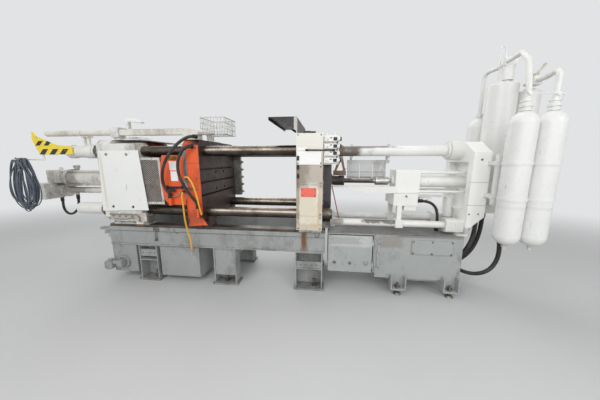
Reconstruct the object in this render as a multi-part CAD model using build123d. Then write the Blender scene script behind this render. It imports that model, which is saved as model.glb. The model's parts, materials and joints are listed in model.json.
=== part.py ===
from build123d import *
import math
import os

os.makedirs("parts", exist_ok=True)

# The machine stands on the floor at Z = 0, with the shot end toward +X and the
# operator on the -Y side. X = 0 and Y = 0 are the centre of the four anchor
# holes in the outer foot plates of the base.

# Clamp: platens, tie bars and opening
centre_height = 1370.0
platen_width = 1040.0
platen_height = 1040.0
platen_corner = 60.0
fixed_face_x = 990.0
fixed_thickness = 290.0
moving_thickness = 200.0
daylight = 1170.0
tie_spacing = 760.0
tie_diameter = 125.0
tie_running_gap = 0.08
ejector_travel = 100.0
tail_length = 170.0
tail_cover_length = 500.0
nut_diameter = 190.0
nut_length = 105.0
slot_width = 28.0
slot_depth = 48.0
slot_pitch = 160.0
slot_count = 3

# Toggle linkage
rear_link_length = 330.0
front_link_length = 810.0
open_angle = 100.0
pin_height = 440.0
pin_diameter = 70.0
cross_pin_diameter = 44.0
cross_arm = 200.0
cross_arm_lead = 15.0
knee_clearance = 42.0
cross_clearance = 27.0
blade_half = 70.0
cheek_thickness = 50.0
cross_link_thickness = 35.0
lug_thickness = 60.0
layer_gap = 5.0
rear_pin_setback = 175.0
front_pin_setback = 110.0
link_boss = 78.0
crosshead_setback = 138.0
crosshead_pin_z = 110.0
rear_wall_thickness = 180.0
rear_box_depth = 350.0
guide_rod_diameter = 50.0
guide_rod_y = 262.0

# Closing cylinder
closing_bore = 180.0
closing_outside = 260.0
closing_length = 1079.0
closing_rod_diameter = 90.0

# Base
beam_face_y = 430.0
beam_width = 140.0
beam_left_x = -1600.0
beam_right_x = 1330.0
beam_bottom = 505.0
beam_top = 760.0
beam_seam = 700.0
beam_wall = 16.0
end_stub_length = 190.0
way_thickness = 30.0
anchor_pitch_x = 2240.0
anchor_pitch_y = 760.0
anchor_hole = 34.0
foot_plate = 25.0

# Shot end
sleeve_outside = 130.0
plunger_diameter = 70.0
sleeve_length = 600.0
upper_rod_diameter = 130.0
upper_rod_z = 385.0
lower_rod_diameter = 85.0
lower_rod_y = 195.0
lower_rod_z = -522.0
frame_left_x = 2979.0
frame_thickness = 188.0
frame_half = 300.0
head_size = 290.0
head_left_x = 2195.0
shot_base_top = 745.0
shot_base_half = 360.0

# Gas bottles and accumulators
bottle_diameter = 232.0
bottle_length = 1350.0
bottle_near_x = 3234.0
bottle_end_x = 3480.0
bottle_near_y = -560.0
accumulator_diameter = 300.0
accumulator_length = 1390.0

# Places that follow from the sizes above
half_tie = tie_spacing / 2
tie_points = [(-half_tie, half_tie), (half_tie, half_tie), (-half_tie, -half_tie), (half_tie, -half_tie)]
moving_face_x = fixed_face_x - daylight
moving_height = platen_height - 20.0
moving_top = centre_height + moving_height / 2
moving_back_x = moving_face_x - moving_thickness
fixed_back_x = fixed_face_x + fixed_thickness
platen_bottom = centre_height - platen_height / 2
platen_top = centre_height + platen_height / 2
way_top = beam_top + way_thickness
open_rad = math.radians(open_angle)
knee_z = pin_height - rear_link_length * math.sin(open_rad)
knee_dx = rear_link_length * math.cos(open_rad)
front_drop = pin_height - knee_z
front_run = math.sqrt(front_link_length ** 2 - front_drop ** 2)
front_pin_x = moving_back_x - front_pin_setback
rear_pin_x = front_pin_x - front_run - knee_dx
knee_x = rear_pin_x + knee_dx
rear_wall_x = rear_pin_x - rear_pin_setback
rear_face_x = rear_wall_x - rear_wall_thickness
rear_box_x = rear_wall_x + rear_box_depth
cross_angle = math.radians(open_angle + cross_arm_lead)
cross_x = rear_pin_x + cross_arm * math.cos(cross_angle)
cross_z = pin_height - cross_arm * math.sin(cross_angle)
crosshead_x = cross_x - crosshead_setback
frame_right_x = frame_left_x + frame_thickness
pin_radius = pin_diameter / 2
eye_radius = pin_radius + knee_clearance
eye_boss = eye_radius + 24.0
cheek_out = blade_half + layer_gap + cheek_thickness
cross_in = cheek_out + layer_gap
cross_out = cross_in + cross_link_thickness
lug_in = cross_out + layer_gap
lug_out = lug_in + lug_thickness
front_lug_in = blade_half + layer_gap
front_lug_out = front_lug_in + lug_thickness


def block(x0, x1, y0, y1, z0, z1):
    """A box between two corners."""
    return Pos((x0 + x1) / 2, (y0 + y1) / 2, (z0 + z1) / 2) * Box(abs(x1 - x0), abs(y1 - y0), abs(z1 - z0))


def rod_x(x0, x1, y, z, diameter):
    """A round bar along X."""
    return Pos((x0 + x1) / 2, y, z) * Rot(0, 90, 0) * Cylinder(diameter / 2, abs(x1 - x0))


def rod_y(x, y0, y1, z, diameter):
    """A round bar along Y."""
    return Pos(x, (y0 + y1) / 2, z) * Rot(90, 0, 0) * Cylinder(diameter / 2, abs(y1 - y0))


def rod_z(x, y, z0, z1, diameter):
    """A round bar along Z."""
    return Pos(x, y, (z0 + z1) / 2) * Cylinder(diameter / 2, z1 - z0)


def plate_yz(points, x0, x1):
    """A plate cut to an outline in Y and Z, between two X places."""
    face = make_face(Polyline(*[(0, y, z) for y, z in points], close=True))
    return Pos(x0, 0, 0) * extrude(face, amount=x1 - x0, dir=(1, 0, 0))


def plate_xz(points, y0, y1):
    """A plate cut to an outline in X and Z, between two Y places."""
    face = make_face(Polyline(*[(x, 0, z) for x, z in points], close=True))
    return Pos(0, min(y0, y1), 0) * extrude(face, amount=abs(y1 - y0), dir=(0, 1, 0))


def hex_z(x, y, z0, z1, flats):
    """A hexagon nut or bolt head with its axis along Z."""
    return Pos(x, y, z0) * extrude(RegularPolygon(flats / 2, 6, major_radius=False), amount=z1 - z0)


def hex_x(x0, x1, y, z, flats):
    """A hexagon nut or bolt head with its axis along X."""
    return Pos(x0, y, z) * Rot(0, 90, 0) * extrude(RegularPolygon(flats / 2, 6, major_radius=False),
                                                   amount=x1 - x0)


def hex_y(x, y0, y1, z, flats):
    """A hexagon nut or bolt head with its axis along Y."""
    return Pos(x, y1, z) * Rot(90, 0, 0) * extrude(RegularPolygon(flats / 2, 6, major_radius=False),
                                                   amount=y1 - y0)


def bent_path(points, largest):
    """Straight runs joined by arcs as large as the runs allow, up to a largest radius."""
    corners = [Vector(*p) for p in points]
    radii = []
    for before, here, after in zip(corners, corners[1:], corners[2:]):
        run_in = here - before
        run_out = after - here
        half_turn = math.radians(run_in.get_angle(run_out)) / 2
        radii.append(min(largest, 0.45 * min(run_in.length, run_out.length) / math.tan(half_turn)))
    start = Plane(origin=corners[0], z_dir=corners[1] - corners[0])
    return FilletPolyline(*corners, radius=radii), start, radii


def tube_path(points, diameter, name):
    """A hose along its path, with its radii and its volume printed."""
    path, start, radii = bent_path(points, 100000.0)
    hose = sweep(start * Circle(diameter / 2), path=path)
    ratio = hose.volume / (math.pi * diameter ** 2 / 4 * path.length)
    print(name, "radii", [round(r) for r in radii], "length", round(path.length), "volume ratio",
          round(ratio, 4))
    return hose


def rigid_pipe(points, diameter, radius):
    """A bent steel pipe with one bend radius."""
    path, start, radii = bent_path(points, radius)
    return sweep(start * Circle(diameter / 2), path=path)


def save(name, *solids):
    """Write one sub-part."""
    shape = solids[0] if len(solids) == 1 else Compound(children=[s for s in solids])
    export_step(shape, f"parts/{name}.step")


def base_beams():
    """Two welded box beams, each with a deeper top rail."""
    beams = []
    for side in (-1, 1):
        outer = side * beam_face_y
        inner = side * (beam_face_y - beam_width)
        low, high = sorted((outer, inner))
        body = block(beam_left_x, beam_right_x, low, high, beam_bottom, beam_top)
        hollow = block(beam_left_x + beam_wall, beam_right_x - beam_wall, low + beam_wall, high - beam_wall,
                       beam_bottom + beam_wall, beam_seam)
        lip_out = outer + side * 10.0
        lip = block(beam_left_x, beam_right_x, outer, lip_out, beam_seam, beam_top)
        flange = block(beam_left_x, beam_right_x, outer, lip_out, beam_bottom,
                       beam_bottom + 18.0)
        stub_y = side * (beam_face_y - beam_width / 2)
        stub = block(beam_left_x - end_stub_length, beam_left_x, stub_y - 35, stub_y + 35, 688, 722)
        stub += rod_x(beam_left_x - end_stub_length + 50, beam_left_x, stub_y, 645, 46)
        stub += rod_x(beam_left_x - end_stub_length / 2, beam_left_x, stub_y, 595, 28)
        beams.append(body - hollow + lip + flange + stub)
    save("base_beams", *beams)


leg_plate = 16.0
strap_plate = 10.0


def base_leg(x0, x1, shelf_z, strap_low, strap_high, anchored):
    """A leg frame: a channel post under each beam with a front strap, foot plates and a cross box."""
    plate = leg_plate
    leg = block(x0, x1, -beam_face_y + 150, beam_face_y - 150, beam_bottom - 130, beam_bottom - 20)
    for side in (-1, 1):
        front = side * beam_face_y
        back = side * (beam_face_y - 150.0)
        low, high = sorted((front, back))
        web = block(x0, x1, back, back + side * plate, foot_plate, beam_bottom)
        cap = block(x0, x1, low, high, beam_bottom - plate, beam_bottom)
        left = block(x0, x0 + plate, low, high, foot_plate, beam_bottom)
        right = block(x1 - plate, x1, low, high, foot_plate, beam_bottom)
        sole = block(x0 - 18, x1 + 18, low - 22, high + 22, 0, foot_plate)
        strap_y = front - side * 12.0
        strap = block(x0, x1, strap_y, strap_y - side * strap_plate, strap_low, strap_high)
        leg = leg + web + cap + left + right + sole + strap
        if anchored:
            leg += block(x0, x1, low, high, shelf_z - plate, shelf_z)
            for i in range(4):
                hole_x = x0 + (i + 1) * (x1 - x0) / 5
                leg -= rod_y(hole_x, strap_y - 20, strap_y + 20, (strap_low + strap_high) / 2, 14)
            hole_x = math.copysign(anchor_pitch_x / 2, (x0 + x1) / 2)
            leg -= rod_z(hole_x, side * anchor_pitch_y / 2, -1, foot_plate + 1, anchor_hole)
    return leg


def slide_ways():
    """Hardened strips on the beams, under the moving shoes."""
    strips = []
    for side in (-1, 1):
        outer = side * (beam_face_y - 6.0)
        inner = side * (beam_face_y - beam_width + 6.0)
        strip = block(beam_left_x + 10, fixed_face_x - 6, outer, inner, beam_top, way_top)
        strips.append(chamfer(strip.edges().filter_by(Axis.X).group_by(Axis.Z)[-1], 5))
    save("slide_ways", *strips)


tank_left_x = -885.0
tank_right_x = -330.0
tank_bottom = 75.0
end_box_right_x = -1240.0
end_box_bottom = 110.0


def oil_tank():
    """Sheet steel oil tank hung between the beams, with a rolled lower edge."""
    tank = block(tank_left_x, tank_right_x, -beam_face_y, 180, tank_bottom, beam_bottom)
    tank = fillet(tank.edges().filter_by(Axis.X).group_by(Axis.Z)[0], 14)
    rim = block(tank_left_x - 8, tank_right_x + 8, -beam_face_y - 8, 188, beam_bottom - 14, beam_bottom - 6)
    tank = tank + rim - block(tank_left_x + 60, tank_right_x - 60, -beam_face_y - 9, -beam_face_y + 2, 0,
                              90)
    return tank


def drain_box():
    """Closed end box under the left end of the base, with its flanged outlet."""
    box = block(beam_left_x, end_box_right_x, -beam_face_y + 4, beam_face_y - 4, end_box_bottom,
                beam_bottom)
    flange_x = -1440.0
    flange_z = 255.0
    face_y = -beam_face_y + 4
    dish = rod_y(flange_x, face_y - 28, face_y, flange_z, 176) - rod_y(flange_x, face_y - 29, face_y - 12,
                                                                       flange_z, 132)
    hub = block(flange_x - 42, flange_x + 42, face_y - 96, face_y - 12, flange_z - 42, flange_z + 42)
    valve_x = flange_x - 157
    port_y = face_y - 62
    body = block(valve_x - 56, valve_x + 56, face_y - 104, face_y - 12, flange_z - 84, flange_z + 34)
    body = chamfer(body.edges().filter_by(Axis.Y), 22)
    body += rod_x(valve_x + 56, flange_x - 42, port_y, flange_z, 52)
    body += rod_z(valve_x, port_y, flange_z + 34, flange_z + 52, 60)
    return box + dish + hub, body


shot_bay_x = 1364.0
shot_bay_right_x = 1951.0
shot_base_right_x = 2956.0
shot_bay_bottom = 246.0
shot_base_bottom = 187.0
shot_foot_places = (2228.0, 2836.0)
shot_foot_plate_z = 62.0
shot_foot_plate = 22.0
shot_foot_out = 32.0
shot_foot_bolt = 30.0


def leg_places():
    """Each leg frame: left and right edge, shelf height, edges of its strap, and whether it is anchored."""
    return [(-1203.0, -933.0, 300.0, 340.0, 440.0, True), (-131.0, 173.0, 0.0, 130.0, 495.0, False),
            (955.0, 1301.0, 289.0, 283.0, 376.0, True)]


def levelling_feet():
    """Levelling bolts with nuts, standing in the foot plates."""
    pieces = []
    for x0, x1, *_, anchored in leg_places():
        for side in (-1, 1):
            x = (x0 + x1) / 2 + (70 if anchored else 0)
            y = side * (beam_face_y - 62)
            bolt = rod_z(x, y, foot_plate, foot_plate + 78, 30)
            nut = hex_z(x, y, foot_plate, foot_plate + 24, 55)
            head = hex_z(x, y, foot_plate + 78, foot_plate + 96, 46)
            pieces.append(bolt + nut + head)
    nut_z = shot_foot_plate_z + shot_foot_plate
    for x in shot_foot_places:
        for side in (-1, 1):
            y = side * (shot_base_half + shot_foot_out)
            bolt = rod_z(x, y, 0, nut_z + 60, shot_foot_bolt)
            pad = Pos(x, y, 11) * Cone(48, 34, 22)
            nut = hex_z(x, y, nut_z, nut_z + 24, 55)
            pieces.append(bolt + pad + nut)
    save("levelling_feet", *pieces)


door_gap = 3.0
door_right_x = 1905.0
door_bottom = shot_bay_bottom + 6
door_top = shot_base_top - 22
hinge_levels = (door_bottom + 90, door_top - 90)
hinge_x = 1919.0
hinge_y = -shot_base_half - 12.0


def shot_base():
    """Sheet steel cabinet under the shot end: an open bay, a closed box and feet."""
    wall = 14.0
    bay = block(shot_bay_x, shot_bay_right_x, -shot_base_half, shot_base_half, shot_bay_bottom,
                shot_base_top)
    room = block(shot_bay_x + wall, shot_bay_right_x - 30, -shot_base_half - 1, shot_base_half - wall,
                 shot_bay_bottom + wall, shot_base_top - wall)
    main = block(shot_bay_right_x, shot_base_right_x, -shot_base_half, shot_base_half, shot_base_bottom,
                 shot_base_top)
    main = fillet(main.edges().filter_by(Axis.Z).group_by(Axis.X)[-1], 18)
    cabinet = bay - room + main
    cover = block(2368, 2837, -shot_base_half - 16, -shot_base_half, 512, 690)
    cabinet += chamfer(cover.faces().sort_by(Axis.Y)[0].edges(), 5)
    post = block(1936, 1950, -shot_base_half - 10, -shot_base_half, shot_bay_bottom + 4, shot_base_top - 4)
    cabinet += post
    apron = plate_xz([(2060, shot_base_bottom), (2120, shot_base_bottom - 50),
                      (2790, shot_base_bottom - 50),
                      (2840, shot_base_bottom)], -shot_base_half + 60, shot_base_half - 60)
    cabinet += apron
    for x in shot_foot_places:
        for side in (-1, 1):
            face = side * shot_base_half
            sole_top = shot_foot_plate_z + shot_foot_plate
            ear = block(x - 90, x + 90, face - side * 20, face + side * 74, shot_foot_plate_z, sole_top)
            for edge in (x - 90, x + 74):
                ear += block(edge, edge + 16, face - side * 20, face + side * 74, sole_top, 235)
            ear += block(x - 90, x + 90, face - side * 20, face, shot_foot_plate_z, 192)
            ear -= rod_z(x, side * (shot_base_half + shot_foot_out), shot_foot_plate_z - 1, sole_top + 1,
                         shot_foot_bolt + 1)
            cabinet += ear
    pins = []
    for z in hinge_levels:
        pin = rod_z(hinge_x, hinge_y, z - 50, z + 50, 12)
        for end in (z - 50, z + 31):
            pin += block(hinge_x - 8, hinge_x + 9, hinge_y - 8, -shot_base_half, end, end + 19)
        pins.append(pin)
    save("shot_base", cabinet, *pins)


def shot_base_door():
    """Folded sheet door of the shot base bay, hung on a pin hinge at its right edge."""
    left = shot_bay_x + 6
    low = door_bottom
    high = door_top
    front = -shot_base_half - door_gap - 20
    door = block(left, door_right_x, front, front + 20, low, high)
    door -= block(left + 4, door_right_x - 4, front + 4, front + 21, low + 4, high - 4)
    for z in hinge_levels:
        strap = block(door_right_x - 60, hinge_x, front + 4, front + 14, z - 28, z + 28)
        knuckle = rod_z(hinge_x, hinge_y, z - 28, z + 28, 22)
        door += strap + knuckle
        door -= rod_z(hinge_x, hinge_y, z - 40, z + 40, 12.3)
    for x in (left + 40, left + 190, left + 340):
        door += hex_y(x, front - 8, front, low + 90, 24)
    save("shot_base_door", door)


def corner_outline(width, height, corner):
    """Half sizes of a platen outline with cut corners."""
    w, h, c = width / 2, height / 2, corner
    return [(-w + c, -h), (w - c, -h), (w, -h + c), (w, h - c), (w - c, h), (-w + c, h), (-w, h - c),
            (-w, -h + c)]


def lift(points):
    """Move a platen outline up to the machine's centre height."""
    return [(y, z + centre_height) for y, z in points]


def slot_cuts(face_x, inward):
    """T-slots across a platen's die face, in the direction of Y."""
    cuts = []
    first = -(slot_count - 1) / 2 * slot_pitch
    for i in range(slot_count):
        z = centre_height + first + i * slot_pitch
        neck = block(face_x, face_x + inward * slot_depth,
                     -platen_width, platen_width, z - slot_width / 2, z + slot_width / 2)
        deep = face_x + inward * slot_depth
        wide_from = deep - inward * 20.0
        wide = block(deep, wide_from, -platen_width, platen_width,
                     z - slot_width * 0.9, z + slot_width * 0.9)
        cuts.append(neck + wide)
    return cuts


def fixed_platen():
    """Stationary platen, the face strips between its slots, and the boss for the shot frame."""
    body = plate_yz(lift(corner_outline(platen_width, platen_height, platen_corner)), fixed_face_x,
                    fixed_back_x)
    spider = [(-262, lower_rod_z - 75), (262, lower_rod_z - 75), (262, lower_rod_z + 90), (300, -240),
              (330, 190),
              (150, 470), (-150, 470), (-330, 190), (-300, -240), (-262, lower_rod_z + 90)]
    body += plate_yz(lift(spider), fixed_back_x, fixed_back_x + 110)
    for side in (-1, 1):
        foot = block(fixed_face_x + 20, fixed_back_x, side * 300, side * 424, beam_top,
                     platen_bottom)
        body += foot
    for y, z in tie_points:
        body -= rod_x(fixed_face_x - 1, fixed_back_x + 1, y, centre_height + z,
                      tie_diameter + 2 * tie_running_gap)
    body -= rod_x(fixed_face_x - 1, fixed_back_x + 111, 0, centre_height, sleeve_outside + 0.1)
    for cut in slot_cuts(fixed_face_x, 1):
        body -= cut
    face_layer = block(fixed_face_x, fixed_face_x + slot_depth, -platen_width, platen_width, 0,
                       2 * centre_height)
    face_strips = (body & face_layer).solids()
    save("fixed_platen", body - face_layer, *face_strips)


guard_seams = (829.0, 1000.0, 1363.0, 1585.0, 1930.0)
guard_depth = 40.0
guard_sheet = 3.0


def platen_guard():
    """Four sheets with welded edges over the operator side of the fixed platen."""
    pans = []
    left, right = fixed_face_x + 1, fixed_back_x + 8
    back = -platen_width / 2
    front = back - guard_depth
    for low, high in zip(guard_seams, guard_seams[1:]):
        low, high = low + 1, high - 1
        pans.append(block(left, right, front, front + guard_sheet, low, high))
        for x in (left, right - guard_sheet):
            pans.append(block(x, x + guard_sheet, front + guard_sheet, back, low, high))
        for z in (low, high - guard_sheet):
            pans.append(block(left + guard_sheet, right - guard_sheet, front + guard_sheet, back, z,
                              z + guard_sheet))
    save("platen_guard", *pans)


def die_hood():
    """Bent sheet hood that stands on the fixed platen and reaches over the die space."""
    top = 2112.0
    sheet = 8.0
    reach = 672.0
    skirt = block(fixed_face_x - 5, fixed_face_x - 5 + sheet, -platen_width / 2 + 70, platen_width / 2,
                  platen_top - 40, top)
    roof = block(reach, fixed_face_x - 5 + sheet, -platen_width / 2, platen_width / 2, top - sheet, top)
    lip = block(reach, reach + sheet, -platen_width / 2, platen_width / 2, top - 34, top)
    near_post = block(fixed_face_x - 5, fixed_face_x + 3, -platen_width / 2, -platen_width / 2 + 70,
                      platen_top - 40, top)
    hood = skirt + roof + lip + near_post
    for y in (-platen_width / 2 + 2, platen_width / 2 - 10):
        hood += plate_xz([(fixed_face_x - 5, 1960), (fixed_face_x - 5, top - 4), (reach + 90, top - 4)], y,
                         y + sheet)
    hood -= block(fixed_face_x, fixed_face_x + sheet, -platen_width, platen_width, platen_top - 41,
                  platen_top)
    save("die_hood", hood)


def valve_manifold():
    """Valve block on the back of the fixed platen, with four solenoid valves."""
    x0, x1 = fixed_back_x, 1462.0
    y0, y1 = -518.0, -482.0
    body = block(x0, x1, y0, y1, 1590, 1908)
    body = chamfer(body.edges().filter_by(Axis.Y), 6)
    for z in (1636, 1712, 1788, 1864):
        body += block(x0 + 22, x1 - 20, y0 - 44, y0, z - 26, z + 26)
        body += rod_x(x1 - 20, x1 + 20, y0 - 22, z, 42)
    for x in (x0 + 50, x0 + 130):
        body += rod_z(x, (y0 + y1) / 2, 1908, 1934, 32)
    save("valve_manifold", body)


tie_left_x = rear_face_x - tail_length
tie_right_x = fixed_back_x + nut_length + 20.0


def tie_nut(x0, x1, y, z):
    """A round tie bar nut with six spanner slots."""
    nut = rod_x(x0, x1, y, z, nut_diameter) - rod_x(x0 - 1, x1 + 1, y, z, tie_diameter + 0.1)
    for i in range(6):
        angle = math.radians(60 * i + 30)
        slot_y = y + math.cos(angle) * nut_diameter / 2
        slot_z = z + math.sin(angle) * nut_diameter / 2
        nut -= Pos((x0 + x1) / 2, slot_y, slot_z) * Rot(60 * i + 30, 0, 0) * Box(x1 - x0 + 2, 24, 26)
    return nut


def tie_bars():
    """Four tie bars with turned ends."""
    bars = []
    for y, z in tie_points:
        bar = rod_x(tie_left_x, tie_right_x, y, centre_height + z, tie_diameter)
        bars.append(chamfer(bar.edges().filter_by(GeomType.CIRCLE), 5))
    nuts = [tie_nut(fixed_back_x, fixed_back_x + nut_length, y, centre_height + z) for y, z in tie_points]
    save("tie_bars", *bars, *nuts)


def rear_nuts():
    """Nuts behind the rear platen, each with the tube that covers the bar's thread."""
    pieces = []
    for y, z in tie_points:
        pieces.append(tie_nut(rear_face_x - nut_length, rear_face_x, y, centre_height + z))
    save("rear_nuts", *pieces)
    covers = []
    for y, z in tie_points:
        long_cover = y < 0 and z > 0
        end = rear_face_x - tail_cover_length - (25 if long_cover else 0)
        start = rear_face_x - nut_length
        height = centre_height + z
        tube = rod_x(end, start, y, height, 156) - rod_x(end + 6, start + 1, y, height, 142)
        collar = rod_x(start - 16, start, y, height, 184) - rod_x(start - 17, start + 1, y, height, 142)
        covers.append(tube + collar)
    save("tail_covers", *covers)


window_half_y = lug_in + 14.0
window_half_z = 218.0


def rear_platen():
    """Rear platen: thick back wall, four tie bar bosses, side walls and toggle lugs."""
    outline = lift(corner_outline(platen_width, platen_height, platen_corner))
    body = plate_yz(outline, rear_face_x, rear_wall_x)
    for y, z in tie_points:
        body += rod_x(rear_wall_x, rear_box_x, y, centre_height + z, 210)
    for side in (-1, 1):
        outer = side * platen_width / 2
        inner = side * (platen_width / 2 - 45)
        wall = block(rear_wall_x, rear_box_x, outer, inner, centre_height - half_tie,
                     centre_height + half_tie)
        window = block(rear_wall_x + 70, rear_box_x - 60, side * 400, side * 600, centre_height - 230,
                       centre_height + 230)
        body += wall - window
        for level in (-1, 1):
            z = centre_height + level * half_tie
            y = side * (platen_width / 2 - 70)
            body += block(rear_wall_x, rear_box_x, y, outer, z - 90, z + 90)
    for level in (-1, 1):
        pin_z = centre_height + level * pin_height
        for side in (-1, 1):
            inner, outer = side * lug_in, side * lug_out
            low, high = sorted((inner, outer))
            root_low = centre_height + level * 250
            root_high = centre_height + level * (platen_height / 2 - 4)
            lug = plate_xz([(rear_wall_x, root_low), (rear_pin_x, pin_z - level * link_boss),
                            (rear_pin_x, pin_z + level * link_boss),
                            (rear_wall_x, root_high)], low, high)
            lug += rod_y(rear_pin_x, low, high, pin_z, 2 * link_boss)
            body += lug
        body -= rod_y(rear_pin_x, -lug_out - 1, lug_out + 1, pin_z, pin_diameter)
    window = block(rear_face_x - 1, rear_wall_x + 1, -window_half_y, window_half_y,
                   centre_height - window_half_z,
                   centre_height + window_half_z)
    body -= fillet(window.edges().filter_by(Axis.X), 30)
    slots = block(rear_face_x + 60, rear_wall_x + 1, -guide_rod_y - 70, guide_rod_y + 70,
                  centre_height - 60,
                  centre_height + 60)
    body -= slots
    for side in (-1, 1):
        body -= rod_x(rear_face_x + 20, rear_wall_x + 1, side * guide_rod_y, centre_height,
                      guide_rod_diameter)
        foot_in, foot_out = side * 300, side * 424
        body += block(rear_face_x + 12, rear_box_x - 10, foot_in, foot_out, way_top,
                      platen_bottom + 60)
    for y, z in tie_points:
        body -= rod_x(rear_face_x - 1, rear_box_x + 1, y, centre_height + z,
                      tie_diameter + 2 * tie_running_gap)
    save("rear_platen", body)


def crosshead_guides():
    """Guide rods of the crosshead, with the bridge that holds their front ends."""
    rods = []
    for side in (-1, 1):
        y = side * guide_rod_y
        rod = rod_x(rear_face_x + 20, rear_box_x - 24, y, centre_height, guide_rod_diameter)
        wall_y = side * (platen_width / 2 - 45)
        arm = block(rear_box_x - 50, rear_box_x - 24, y, wall_y, centre_height - 45,
                    centre_height + 45)
        rods.append(rod + arm)
    pins = [rod_y(rear_pin_x, -lug_out - 8, lug_out + 8, centre_height + level * pin_height, pin_diameter)
            for level in (-1, 1)]
    save("crosshead_guides", *rods, *pins)


def rear_cover():
    """White cover sheet over the operator side of the rear platen, with four bolts."""
    face = -platen_width / 2
    sheet = plate_xz([(rear_face_x + 40, 1755), (rear_box_x + 50, 1757), (rear_box_x + 105, 1014),
                      (rear_face_x - 10, 992)], face - 18, face - 14)
    sheet += plate_xz([(rear_face_x + 60, 1700), (rear_box_x - 10, 1700), (rear_box_x - 10, 1040),
                       (rear_face_x + 60, 1040)], face - 14, face)
    for x in (rear_face_x + 145, rear_box_x - 110):
        for z in (1709, 1053):
            sheet += rod_y(x, face - 26, face - 18, z, 26)
    return sheet


def top_cover():
    """Top sheet of the rear platen with two grey service lids and the bar's housing."""
    z = platen_top
    half = half_tie + 60
    tray = block(rear_wall_x - 60, rear_box_x, -half, half, z, z + 6)
    for x in (rear_wall_x - 10, rear_wall_x + 170):
        tray += plate_xz([(x, z + 6), (x + 130, z + 6), (x + 118, z + 36), (x + 12, z + 36)], -half + 40,
                         -half + 300)
    return tray


bar_y = -430.0
bar_z = 1978.0
bar_left_x = -2310.0
bar_size = 72.0


def bar_bracket():
    """Guide housing on the rear platen through which the safety bar slides."""
    x0, x1 = rear_box_x - 340, rear_box_x - 236
    gap = 3.0
    reach = bar_size / 2
    house = block(x0, x1, bar_y - reach - 22, bar_y + reach + 22, bar_z - reach - 24, bar_z + reach + 20)
    house -= block(x0 - 1, x1 + 1, bar_y - reach - gap, bar_y + reach + gap, bar_z - reach - gap,
                   bar_z + reach + gap)
    leg = block(x0 + 10, x1 - 10, bar_y - 25, bar_y + 50, platen_top, bar_z - reach - 24)
    pawl_z = bar_z + reach + 20
    post_x = x1 + 100
    arm = block(x0, post_x + 24, bar_y - 20, bar_y + 20, pawl_z - 8, pawl_z + 8)
    post = block(post_x, post_x + 24, bar_y - 20, bar_y + 20, pawl_z, pawl_z + 112)
    pawl = plate_xz([(post_x, pawl_z + 76), (post_x + 200, pawl_z + 52), (post_x + 206, pawl_z + 66),
                     (post_x + 90, pawl_z + 108), (post_x, pawl_z + 112)], bar_y - 26, bar_y + 26)
    return house + leg + arm + post + pawl


def safety_bar():
    """Notched safety bar carried by the moving platen, round at its tail."""
    joint_x = -1290.0
    reach = bar_size / 2
    tail = rod_x(bar_left_x, joint_x, bar_y, bar_z, bar_size)
    flat = block(joint_x, moving_back_x + 70, bar_y - reach, bar_y + reach, bar_z - reach, bar_z + reach)
    shoe = block(moving_back_x - 10, moving_face_x - 20, bar_y - 60, bar_y + 60, moving_top, bar_z - reach)
    nose = plate_xz([(moving_back_x + 70, bar_z - reach), (moving_face_x + 150, bar_z - reach - 4),
                     (moving_face_x + 150, bar_z - reach + 14), (moving_back_x + 70, bar_z + reach)],
                    bar_y - reach, bar_y + reach)
    notch_pitch = 90.0
    for i in range(6):
        x = joint_x + 150 + i * notch_pitch
        flat -= plate_xz([(x, bar_z + reach + 1), (x + 40, bar_z + reach + 1), (x, bar_z + reach - 14)],
                         bar_y - reach - 1, bar_y + reach + 1)
    save("safety_bar", tail + flat + shoe + nose)


guard_clamp_x = rear_face_x - tail_cover_length + 40.0


coil_x = -2728.0
coil_y = -492.0
coil_top = 1718.0
coil_height = 804.0
coil_width = 570.0
coil_depth = 90.0
coil_band = 62.0
hook_size = 16.0


def hazard_guard():
    """Striped sheet guard on the end of the tie bar cover, round the safety bar's tail."""
    y_in, y_out = -half_tie - 84, -half_tie - 90
    top = bar_z + 24
    low = centre_height + half_tie - 38
    left = bar_left_x - 182
    right = guard_clamp_x + 66
    face = plate_xz([(left, top - 6), (left + 18, top), (left + 58, top - 58), (left + 345, low + 118),
                     (right, low + 98), (right - 10, low), (left + 64, low), (left - 14, top - 95)], y_out, y_in)
    turn = plate_xz([(left + 70, low), (left + 76, low), (left + 76, low + 40), (left + 70, low + 40)],
                    y_in, y_in + 200)
    z = centre_height + half_tie
    start = guard_clamp_x - 60
    clamp = rod_x(start, guard_clamp_x, -half_tie, z, 176) - rod_x(start - 1, guard_clamp_x + 1, -half_tie,
                                                                   z, 156)
    arm = block(start, guard_clamp_x, y_in, -half_tie - 82, z - 26, z + 26)
    for x in (guard_clamp_x + 210, guard_clamp_x + 270):
        clamp_z = z + 78
        strut = block(x, x + 22, bar_y - 12, bar_y + 12, clamp_z - 8, bar_z - bar_size / 2 - 8)
        arm += strut
    arm += block(guard_clamp_x + 196, guard_clamp_x + 306, bar_y - 34, bar_y + 34,
                 bar_z - bar_size / 2 - 20,
                 bar_z - bar_size / 2 - 3)
    saddle = rod_x(guard_clamp_x + 196, guard_clamp_x + 306, -half_tie, z, 176)
    saddle -= rod_x(guard_clamp_x + 195, guard_clamp_x + 307, -half_tie, z, 156)
    arm += saddle
    peg_z = coil_top - coil_band - hook_size / 2 - 0.2
    arm_y = coil_y + coil_depth / 2 + hook_size / 2 + 4
    hook = rod_y(coil_x, coil_y - coil_depth / 2 - 16, arm_y, peg_z, hook_size)
    hook += rod_x(coil_x - 14, left + 73, arm_y, peg_z, hook_size + 4)
    hook += rod_z(left + 73, arm_y, peg_z - 14, low + 20, hook_size + 8)
    save("hazard_guard", face + turn + clamp + arm + hook)


closing_left_x = rear_face_x - closing_length


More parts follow.
